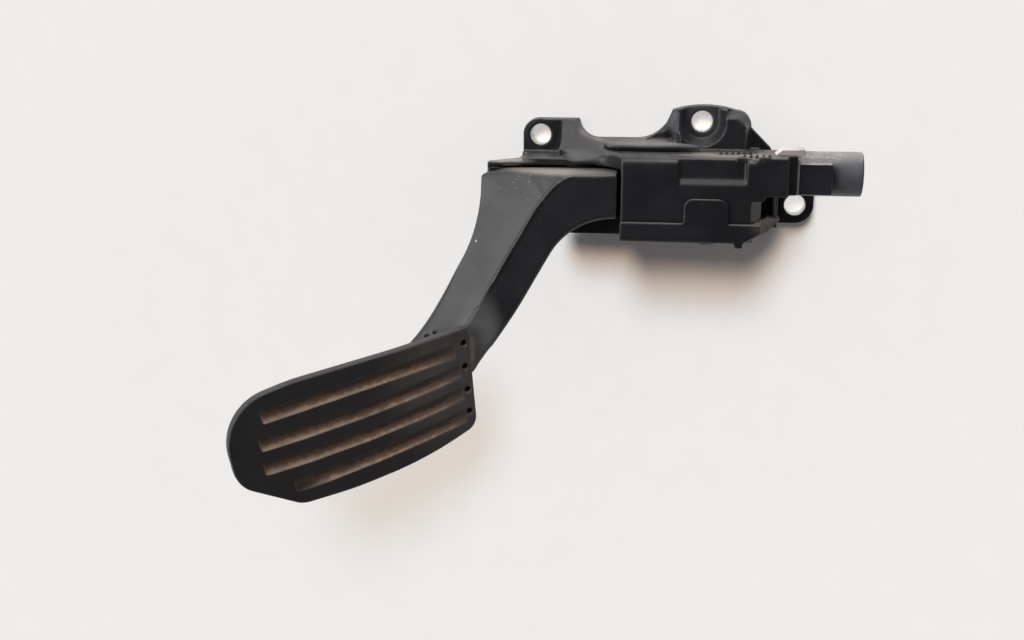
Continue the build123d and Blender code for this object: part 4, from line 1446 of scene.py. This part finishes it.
@dataclass
class ArmShell:
    """The pedal arm: its light face, dark face, hub and tail lever, and the neck under the pad."""

    pad: PadShell
    bend: Span = (11.2, -12.0)
    slant: float = 60.5
    reach: float = 54.0
    front: float = 48.95
    back: float = 32.95
    left: float = 17.0
    right: float = 14.5
    slope: float = 25.5
    chamfer: float = 1.2
    end_left: Point = (-63.0, -97.5, 38.9)
    end_right: Point = (-23.6, -98.4, 49.4)
    left_way: Point = (-0.8, -0.6, -0.05)
    left_depth: float = 5.0
    right_back: Point = (3.0, -4.0, 13.0)
    right_rise: float = 0.2
    foot_sink: float = 0.6
    pad_feet: tuple[Span, ...] = (
        (0.6, 1.2), (36.0, 1.3), (37.0, 14.0), (20.0, 28.0), (5.2, 22.0), (3.4, 20.5),
    )
    spines: tuple[float, ...] = (8.0, 20.0)
    spine_width: float = 3.0
    spine_form: tuple[Span, ...] = (
        (14.0, 0.5), (92.0, 0.5), (92.0, -2.5), (20.0, -18.0), (14.0, -2.5),
    )
    ridge_shift: float = -0.2
    ridge_rows: tuple[tuple[float, float, float, float], ...] = (
        (36.8, -10.8, 90.0, 72.0), (24.9, -11.3, 95.0, 62.0), (18.0, -12.7, 108.0, 48.0),
        (13.6, -14.6, 122.0, 38.0), (9.8, -18.0, 134.0, 31.0), (5.9, -22.6, 143.0, 27.5),
        (0.685, -30.179, 150.5, 25.5), (-19.504, -65.864, 150.5, 25.5),
    )
    worn_sink: float = 0.35
    worn_radius: float = 0.8
    worn_start: int = 2
    seam_radius: float = 0.65
    seam_rows: tuple[int, int] = (8, 17)
    cut_gap: float = 1.0
    cut_reach: float = 150.0
    cut_heights: Span = (-20.0, 150.0)
    pit_heights: Span = (40.0, 60.0)
    plate_relief: Slab = Slab(
        ((-23.0, -10.5), (-23.0, -15.6), (-20.0, -13.4), (-13.0, -12.0), (-6.0, -10.5)),
        Axis.Z, 20.0, 60.0,
    )
    top_filler: Slab = Slab(
        ((-20.5, 22.0), (6.0, 22.0), (6.0, 34.0), (-20.5, 31.5)), Axis.Y, -16.0, -12.4
    )
    plate_filler: Box = Box((-20.5, -13.0, 22.0), (6.0, -11.5, 28.3))
    soft_spots: tuple[SoftSpot, ...] = (
        SoftSpot((-14.0, -11.5, 38.0), (15.0, 5.0, 9.0)),
        SoftSpot((5.0, -11.0, 44.0), (15.0, 4.5, 8.0)),
        SoftSpot((25.0, -10.8, 48.5), (13.0, 3.2, 4.0)),
        SoftSpot((-20.0, -92.0, 49.0), (6.0, 9.0, 5.0)),
        SoftSpot((-40.0, -76.0, 41.0), (17.0, 22.0, 8.0)),
        SoftSpot((-62.0, -96.5, 36.5), (13.0, 13.0, 9.0)),
    )
    pits: tuple[tuple[float, float, float], ...] = ((-45.6, -85.7, 1.1), (-41.8, -83.5, 0.8))
    finish: MouldedFinish = MouldedFinish(
        "arm_plastic_scuffed", (0.0072, 0.0072, 0.0092), 0.46, dust=0.15, wear=0.45, specks=0.04,
        wear_colour=(0.24, 0.24, 0.25),
        soil_and_light_patches=(
            SoilAndLightPatch(
                (6.0, -10.6, 46.0), (34.0, 3.6, 18.0), (0.25, 0.225, 0.205), 0.97,
                120.0, (0.25, 0.6), 0.62,
            ),
            SoilAndLightPatch((4.0, -14.0, 45.0), (20.0, 5.0, 9.0), (0.5, 0.48, 0.46), 0.8, 700.0, (0.6, 0.72)),
            # Painted sheen: a lighter grey patch on the dark face where it nears the pad.
            SoilAndLightPatch(
                (-22.0, -84.0, 49.0), (14.0, 26.0, 9.0), (0.1, 0.099, 0.1), 0.9,
                120.0, (0.3, 0.6), 0.75,
            ),
            SoilAndLightPatch((-8.0, -19.0, 42.0), (9.0, 5.0, 6.0), (0.5, 0.49, 0.48), 0.7, 900.0, (0.6, 0.7)),
            SoilAndLightPatch((2.0, -24.0, 47.0), (8.0, 12.0, 5.0), (0.4, 0.4, 0.42), 0.6, 800.0, (0.6, 0.72)),
            SoilAndLightPatch((-23.8, -42.4, 41.9), (0.75, 0.75, 1.5), (0.5, 0.51, 0.53), 0.8, 400.0, (0.2, 0.4)),
            # Painted reflection: a warm pale streak on the dark face beside the pad's inner end.
            SoilAndLightPatch((-25.5, -89.0, 50.0), (3.4, 11.0, 8.0), (0.3, 0.25, 0.2), 0.9, 260.0, (0.3, 0.6), 0.3),
        ),
    )

    def ridge(self) -> tuple[float, float]:
        """Returns the ridge's direction, down the arm."""
        return -math.cos(math.radians(self.slant)), -math.sin(math.radians(self.slant))

    def section(self) -> list[Point]:
        """Works out the arm's last straight section.

        Returns:
            Its ridge, left edge, backs, and the right edge's chamfer.
        """
        along, down = self.ridge()
        x, y = self.bend[0] + self.reach * along, self.bend[1] + self.reach * down
        drop = (self.left + self.ridge_shift) * math.tan(math.radians(self.slope))
        places = (
            (-self.ridge_shift, self.front), (self.left, self.front - drop), (self.left, self.back),
            (-self.right, self.back), (-self.right, self.front - self.chamfer),
            (self.chamfer - self.right, self.front),
        )
        return [(x + across * down, y - across * along, z) for across, z in places]

    def face_cutter(self, reach: float = 30.0, rise: float = 8.0) -> bpy.types.Mesh:
        """Makes what is cut away over the light face, which a curved ridge turns to the top edge.

        Args:
            reach: how far the cutter goes out from the ridge.
            rise: how high it stands there.

        Returns:
            The cutter's mesh.
        """
        level = self.front
        rows = []
        for x, y, way, slope in self.ridge_rows:
            far_x = x + reach * math.cos(math.radians(way))
            far_y = y + reach * math.sin(math.radians(way))
            fall = reach * math.tan(math.radians(slope))
            rows.append([(x, y, level), (far_x, far_y, level - fall), (far_x, far_y, level + rise)])
        return skin(rows)

    def neck_rows(self, steps: int = 16) -> list[list[Point]]:
        """Works out the neck's rings: they follow the arm, pass under the pad and rise to its back.

        Args:
            steps: how many parts the curved stretch has.

        Returns:
            The rings' points, in millimetres.
        """
        start = [Vector(point) for point in self.section()]
        level = self.foot_sink - self.pad.thickness
        feet = [Vector(self.pad.spot(*foot, level)) for foot in self.pad_feet]
        left, right = Vector(self.end_left), Vector(self.end_right)
        end = [
            feet[0], left, left - Vector((0.0, 0.0, self.left_depth)),
            right - Vector(self.right_back), right - Vector((0.0, 0.0, self.chamfer)),
            right + Vector((-self.chamfer, self.chamfer, self.right_rise)),
        ]
        arm_way = Vector((*self.ridge(), 0.0))
        ways = [end[n] - start[n] for n in range(6)]
        ways[1] = ways[2] = Vector(self.left_way) * ways[1].length
        rows = []
        for step in range(steps + 1):
            t = step / steps
            first, leave = 2 * t**3 - 3 * t**2 + 1, t**3 - 2 * t**2 + t
            last, arrive = 3 * t**2 - 2 * t**3, t**3 - t**2
            rows.append([
                tuple(first * s + leave * (e - s).length * arm_way + last * e + arrive * way)
                for s, e, way in zip(start, end, ways)
            ])
        rows.append([tuple((e + f) / 2) for e, f in zip(end, feet)])
        rows.append([tuple(foot) for foot in feet])
        return rows

    def spine(self, drop: float) -> bpy.types.Mesh:
        """Makes a rib along the pad's back.

        Args:
            drop: how far down the pad it lies.

        Returns:
            The rib's mesh.
        """
        outline = [(along, level - self.pad.thickness) for along, level in self.spine_form]
        mesh = prism(outline, Axis.Y, drop, drop + self.spine_width)
        mesh.transform(self.pad.frame())
        return mesh

    def build(self) -> None:
        """Makes the arm."""
        arm = Moulding(
            "arm_shell", Body.PEDAL, "arm_plastic", ("pedal_arm",), self.finish, soft_rounds=70
        )
        along, down = self.ridge()
        start = self.reach + self.cut_gap
        x, y = self.bend[0] + start * along, self.bend[1] + start * down
        wide = deep = self.cut_reach
        beyond = [
            (x + wide * down, y - wide * along), (x - wide * down, y + wide * along),
            (x - wide * down + deep * along, y + wide * along + deep * down),
            (x + wide * down + deep * along, y - wide * along + deep * down),
        ]
        rows = self.neck_rows()
        marks = [
            prism(circle(px, py, radius), Axis.Z, *self.pit_heights) for px, py, radius in self.pits
        ]
        marks.append(bar([row[0] for row in rows[slice(*self.seam_rows)]], self.seam_radius))
        arm.cuts = [
            prism(beyond, Axis.Z, *self.cut_heights), self.face_cutter(), self.plate_relief.mesh(),
        ]
        level = self.front - self.worn_sink
        worn = [(px, py, level) for px, py, _, _ in self.ridge_rows[self.worn_start:]]
        arm.adds = [
            carve(skin(rows), marks), *(self.spine(drop) for drop in self.spines),
            self.top_filler.mesh(), self.plate_filler.mesh(), bar(worn, self.worn_radius),
        ]
        arm.spots = list(self.soft_spots)
        arm.build()


@dataclass
class ConnectorSocket:
    """The round connector socket and the collar's seal."""

    finish: MouldedFinish = MouldedFinish(
        "connector_plastic_satin", (0.014, 0.0135, 0.0175), 0.34, grain_scale=2200.0,
        grain_strength=0.2, dust=0.85, dust_range=(0.5, 0.9), dust_colour=(0.48, 0.445, 0.43),
        wear=0.2, specks=0.0, soil_and_light_patches=(
            # Painted reflection: a bluish-grey patch over the socket's outer end.
            SoilAndLightPatch((131.0, -13.5, 36.0), (9.5, 14.0, 16.0), (0.085, 0.088, 0.102), 0.85, least=0.8),
        ),
    )
    seal: MouldedFinish = MouldedFinish(
        "seal_rubber_grey", (0.26, 0.26, 0.255), 0.6, dust=0.2, wear=0.0
    )
    key_corner: Slab = Slab(
        ((-7.4, 42.0), (-7.4, 37.8), (-5.0, 35.7), (-5.0, 42.0)), Axis.X, 109.5, 123.5
    )

    def build(self) -> None:
        """Makes the socket, whose key block has its top corner taken off, and the seal."""
        socket = Moulding(
            "connector_tube", Body.HOUSING, "connector_plastic", ("connector_shroud",),
            self.finish, voxel=0.3, rounds=2,
        )
        socket.cuts = [self.key_corner.mesh()]
        socket.build()
        Moulding(
            "connector_seal", Body.HOUSING, "seal_rubber", ("connector_gasket",), self.seal,
            voxel=0.25, rounds=1, triangles=40_000,
        ).build()


@dataclass(frozen=True)
class Coil:
    """A spring's piece, the node that it replaces, its radii in millimetres and its turns."""

    name: str
    node: str
    radius: float
    wire: float
    turns: float


@dataclass
class ReturnSprings:
    """The two return springs, made as wire along a coil with closed ends."""

    x: float = 66.0
    y: float = -23.75
    low: float = 15.55
    high: float = 44.95
    keep: float = 0.42
    flat_turns: float = 1.0
    flat_pitch: float = 0.9
    turn_steps: int = 36
    wire_facets: int = 12
    coils: tuple[Coil, ...] = (
        Coil("outer_coil", "outer_return_spring", 5.2, 0.6, 6.0),
        Coil("inner_coil", "inner_return_spring", 3.4, 0.45, 8.0),
    )
    finish: MetalFinish = MetalFinish("spring_wire", (0.42, 0.41, 0.4), 0.32)

    def wire_tree(self) -> bpy.types.NodeTree:
        """Builds the Geometry Nodes tree that lays round wire along a path.

        Returns:
            The tree.
        """
        inputs = {"Geometry": GEOMETRY, "Wire": FLOAT, "Finish": FINISH}
        tree, sockets, out = new_group(
            "spring_wire", inputs, {"Geometry": GEOMETRY}, "GeometryNodeTree"
        )
        path = tree.node("GeometryNodeMeshToCurve", None, Mesh=sockets["Geometry"]).outputs[0]
        ring = tree.node("GeometryNodeCurvePrimitiveCircle", None, i0=self.wire_facets)
        tree.tree.links.new(sockets["Wire"], ring.inputs["Radius"])
        wire = tree.node("GeometryNodeCurveToMesh", None, i0=path, i1=ring.outputs[0])
        wire.inputs["Fill Caps"].default_value = True
        smooth = tree.node("GeometryNodeSetShadeSmooth", None, i0=wire.outputs[0]).outputs[0]
        tree.dress(smooth, sockets["Finish"], out)
        return tree.tree

    def path(self, coil: Coil) -> bpy.types.Object:
        """Draws a coil's centre line.

        Args:
            coil: the spring's sizes.

        Returns:
            An object of edges, under the piece's name.
        """
        flat, turns, wire = self.flat_turns, coil.turns, coil.wire
        bm = bmesh.new()
        last = None
        for step in range(int((turns + 2 * flat) * self.turn_steps) + 1):
            turn = step / self.turn_steps
            rise = min(max(turn - flat, 0.0) / turns, 1.0)
            closed = min(turn, flat) + max(turn - flat - turns, 0.0) - flat * 2 * rise
            level = self.low + wire + (self.high - self.low - 2 * wire) * rise
            level += 2 * wire * self.flat_pitch * closed
            angle = 2 * math.pi * turn
            x, y = self.x + coil.radius * math.cos(angle), self.y + coil.radius * math.sin(angle)
            spot = bm.verts.new(Vector((x, y, level)) * MM)
            if last:
                bm.edges.new((last, spot))
            last = spot
        mesh = bpy.data.meshes.new(coil.name)
        bm.to_mesh(mesh)
        bm.free()
        return mesh_object(coil.name, mesh)

    def build(self) -> None:
        """Makes both springs."""
        tree, wire_finish = self.wire_tree(), self.finish.material()
        for coil in self.coils:
            values = {"Wire": coil.wire * MM, "Finish": wire_finish}
            spring = grown(self.path(coil), tree, values)
            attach(spring, Body.HOUSING.value)
            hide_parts(coil.node)
            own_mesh(spring)
            log.info("%s: %d faces", coil.name, len(spring.data.polygons))


@dataclass
class InnerPieces:
    """CAD pieces whose shape is right as it is, with their finishes."""

    def finishes(self) -> list[tuple[MouldedFinish | MetalFinish, list[str]]]:
        """Lists the finishes.

        Returns:
            Each finish with the nodes that take it.
        """
        sleeves = [f"mount_sleeve_{side}" for side in ("left", "top", "right")]
        terminals = [f"terminal_{number}" for number in range(1, 7)]
        chips = [f"sensor_chip_{number}" for number in (1, 2)]
        bearings = [
            f"{side}_{kind}" for side in ("upper", "lower") for kind in ("bush", "thrust_washer")
        ]
        clean = {"dust": 0.0, "wear": 0.0, "specks": 0.0}
        bearing = MouldedFinish(
            "bearing_polymer_grey", (0.03, 0.03, 0.031), 0.5, dust=0.1, wear=0.0
        )
        seat = MouldedFinish("seat_polymer_natural", (0.6, 0.58, 0.52), 0.5, dust=0.1, wear=0.0)
        stop = MouldedFinish("stop_rubber_black", (0.02, 0.02, 0.02), 0.75, wear=0.0)
        board = MouldedFinish("board_mask_green", (0.02, 0.12, 0.06), 0.28, 3000.0, **clean)
        chip = MouldedFinish("chip_resin_black", (0.015, 0.015, 0.016), 0.5, **clean)
        return [
            (MetalFinish("sleeve_plated", (0.62, 0.61, 0.58), 0.34), sleeves),
            (MetalFinish("shaft_ground", (0.6, 0.6, 0.6), 0.24), ["pivot_shaft"]),
            (MetalFinish("screw_plated", (0.5, 0.5, 0.48), 0.36), ["cover_screws"]),
            (MetalFinish("rotor_sheet", (0.72, 0.72, 0.73), 0.38), ["sensor_rotor"]),
            (MetalFinish("terminal_brass_bright", (0.72, 0.55, 0.27), 0.28), terminals),
            (bearing, bearings),
            (seat, ["spring_seat"]),
            (stop, ["idle_stop_bumper"]),
            (board, ["circuit_board"]),
            (chip, chips),
        ]

    def build(self) -> None:
        """Dresses the pieces."""
        for finish, nodes in self.finishes():
            material = finish.material()
            for node in nodes:
                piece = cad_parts[node]
                piece.data.materials.clear()
                piece.data.materials.append(material)
                log.info("%s dressed", node)


@dataclass(frozen=True)
class Lamp:
    """A broad sun: where it shines from, its strength and width, and whether it lights the floor."""

    name: str
    towards: Point
    strength: float
    angle: float
    on_floor: bool
    colour: Colour = (1.0, 1.0, 1.0)
    blockers: tuple[str, ...] = ()

    def group(
        self, name: str, members: list[bpy.types.Object], included: bool
    ) -> bpy.types.Collection:
        """Makes a collection that links the lamp to some objects, or to all but those.

        Args:
            name: what the link is for.
            members: the objects.
            included: whether it links to them, or else to all others.

        Returns:
            The collection.
        """
        linked = bpy.data.collections.new(f"{self.name}_{name}")
        for member in members:
            linked.objects.link(member)
        for place in linked.collection_objects:
            place.light_linking.link_state = "INCLUDE" if included else "EXCLUDE"
        return linked

    def hang(self, floor: bpy.types.Object) -> None:
        """Hangs the lamp over all but the floor, or over the floor alone with chosen shadows.

        Args:
            floor: the floor's object.
        """
        data = bpy.data.lights.new(self.name, "SUN")
        data.energy, data.color = self.strength, self.colour
        data.angle = math.radians(self.angle)
        made = bpy.data.objects.new(self.name, data)
        made.rotation_mode = "QUATERNION"
        made.rotation_quaternion = (-Vector(self.towards)).to_track_quat("-Z", "Y")
        bpy.context.scene.collection.objects.link(made)
        made.light_linking.receiver_collection = self.group("lit", [floor], self.on_floor)
        if self.blockers:
            shading = [bpy.data.objects[name] for name in self.blockers]
            made.light_linking.blocker_collection = self.group("shading", shading, True)


@dataclass
class Studio:
    """Pale floor, soft light and the camera."""

    eye: Point = (67.4, 59.0, 580.0)
    right: Point = (0.9903, 0.0, -0.1392)
    up: Point = (-0.0337, 0.9703, -0.2396)
    back: Point = (0.1350, 0.2419, 0.9609)
    focal_pixels: float = 1300.0
    image_width: float = 1024.0
    sensor_width: float = 36.0
    view_range: Span = (0.01, 20.0)
    floor_size: float = 3.0
    floor_gap: float = 0.0004
    floor_colour: Colour = (0.86, 0.86, 0.855)
    floor_shade: float = 0.985
    floor_cloud: float = 60.0
    floor_rough: float = 0.9
    floor_specular: float = 0.1
    lamps: tuple[Lamp, ...] = (
        Lamp("key", (-0.81, 0.24, 0.54), 2.2, 46.0, False),
        Lamp("top", (-0.1, 0.92, 0.38), 2.3, 45.0, False),
        Lamp(
            "floor_cool", (-0.09, 0.62, 0.78), 1.35, 20.0, True, (0.75, 0.9, 1.0),
            ("housing_shell", "cover_shell"),
        ),
        Lamp(
            "floor_warm", (-0.09, 0.41, 0.9), 1.4, 14.0, True, (1.0, 0.73, 0.5),
            ("housing_shell", "cover_shell"),
        ),
        Lamp(
            "floor_pad", (-0.06, 0.55, 0.83), 0.95, 22.0, True, (0.6, 0.8, 1.0),
            ("housing_shell", "cover_shell", "pad_shell"),
        ),
    )
    # Painted light: the floor glows under each mounting hole, given as x and y in millimetres and a
    # strength.
    pools: tuple[Point, ...] = ((0.0, 0.0, 0.44), (70.0, 6.5, 0.48), (111.0, -29.0, 0.72))
    pool_radius: float = 7.0
    pool_core: float = 0.8
    sky_colour: Colour = (0.36, 0.335, 0.32)
    top_colour: Colour = (0.05, 0.05, 0.062)
    top_range: Span = (0.45, 0.95)

    def camera(self) -> None:
        """Puts the camera where the photograph was taken."""
        data = bpy.data.cameras.new("camera")
        data.sensor_width = self.sensor_width
        data.lens = self.focal_pixels / self.image_width * data.sensor_width
        data.clip_start, data.clip_end = self.view_range
        made = bpy.data.objects.new("camera", data)
        turn = Matrix((self.right, self.up, self.back)).transposed().to_4x4()
        made.matrix_world = Matrix.Translation(Vector(self.eye) * MM) @ turn
        bpy.context.scene.collection.objects.link(made)
        bpy.context.scene.camera = made

    def floor(self) -> bpy.types.Object:
        """Lays a wide pale floor under the mounting face, with painted light: it glows where it shows
        through the holes.

        Returns:
            The floor's object.
        """
        bm = bmesh.new()
        bmesh.ops.create_grid(bm, x_segments=8, y_segments=8, size=self.floor_size)
        mesh = bpy.data.meshes.new("floor")
        bm.to_mesh(mesh)
        bm.free()
        made = mesh_object("floor", mesh)
        made.location.z = -self.floor_gap
        material = bpy.data.materials.new("floor_pale")
        material.use_nodes = True
        tree = Tree(material.node_tree)
        shader = material.node_tree.nodes["Principled BSDF"]
        at = tree.node("ShaderNodeTexCoord").outputs["Object"]
        tone = tree.ramp(tree.noise(at, self.floor_cloud, 5), 0.3, 0.7)
        shaded = tuple(self.floor_shade * c for c in self.floor_colour)
        pale = tree.mix(tone, (*shaded, 1.0), (*self.floor_colour, 1.0))
        tree.tree.links.new(pale, shader.inputs["Base Color"])
        shader.inputs["Roughness"].default_value = self.floor_rough
        shader.inputs["Specular IOR Level"].default_value = self.floor_specular
        # Painted light: emission in round spots under the holes.
        rim = self.pool_radius * MM
        shine = 0.0
        for x, y, glow in self.pools:
            away = tree.distance(at, (x * MM, y * MM, 0.0))
            pool = tree.ramp(away, self.pool_core * rim, rim, glow, 0.0)
            shine = tree.math("MAXIMUM", pool, shine)
        glowing = tree.mix(shine, (0.0, 0.0, 0.0, 1.0), pale)
        tree.tree.links.new(glowing, shader.inputs["Emission Color"])
        shader.inputs["Emission Strength"].default_value = 1.0
        mesh.materials.append(material)
        return made

    def surround(self) -> None:
        """Sets a warm dim surround that is darker overhead."""
        world = bpy.data.worlds.new("surround")
        world.use_nodes = True
        bpy.context.scene.world = world
        tree = Tree(world.node_tree)
        towards = tree.node("ShaderNodeTexCoord").outputs["Generated"]
        height = tree.dot(towards, (0.0, 0.0, 1.0))
        share = tree.ramp(height, *self.top_range)
        colour = tree.mix(share, (*self.sky_colour, 1.0), (*self.top_colour, 1.0))
        tree.tree.links.new(colour, world.node_tree.nodes["Background"].inputs["Color"])

    def build(self) -> None:
        """Sets up the whole stage."""
        self.camera()
        floor = self.floor()
        for lamp in self.lamps:
            lamp.hang(floor)
        self.surround()
        bpy.context.scene.view_settings.view_transform = "Standard"


def main() -> None:
    """Builds every sub-assembly in order."""
    logging.basicConfig(level=logging.INFO, format="%(name)s: %(message)s")
    pad = PadShell()
    for assembly in (
        HousingShell(), CoverShell(), ArmShell(pad), pad, ConnectorSocket(), ReturnSprings(),
        InnerPieces(), Studio(),
    ):
        assembly.build()


if __name__ == "__main__":
    main()
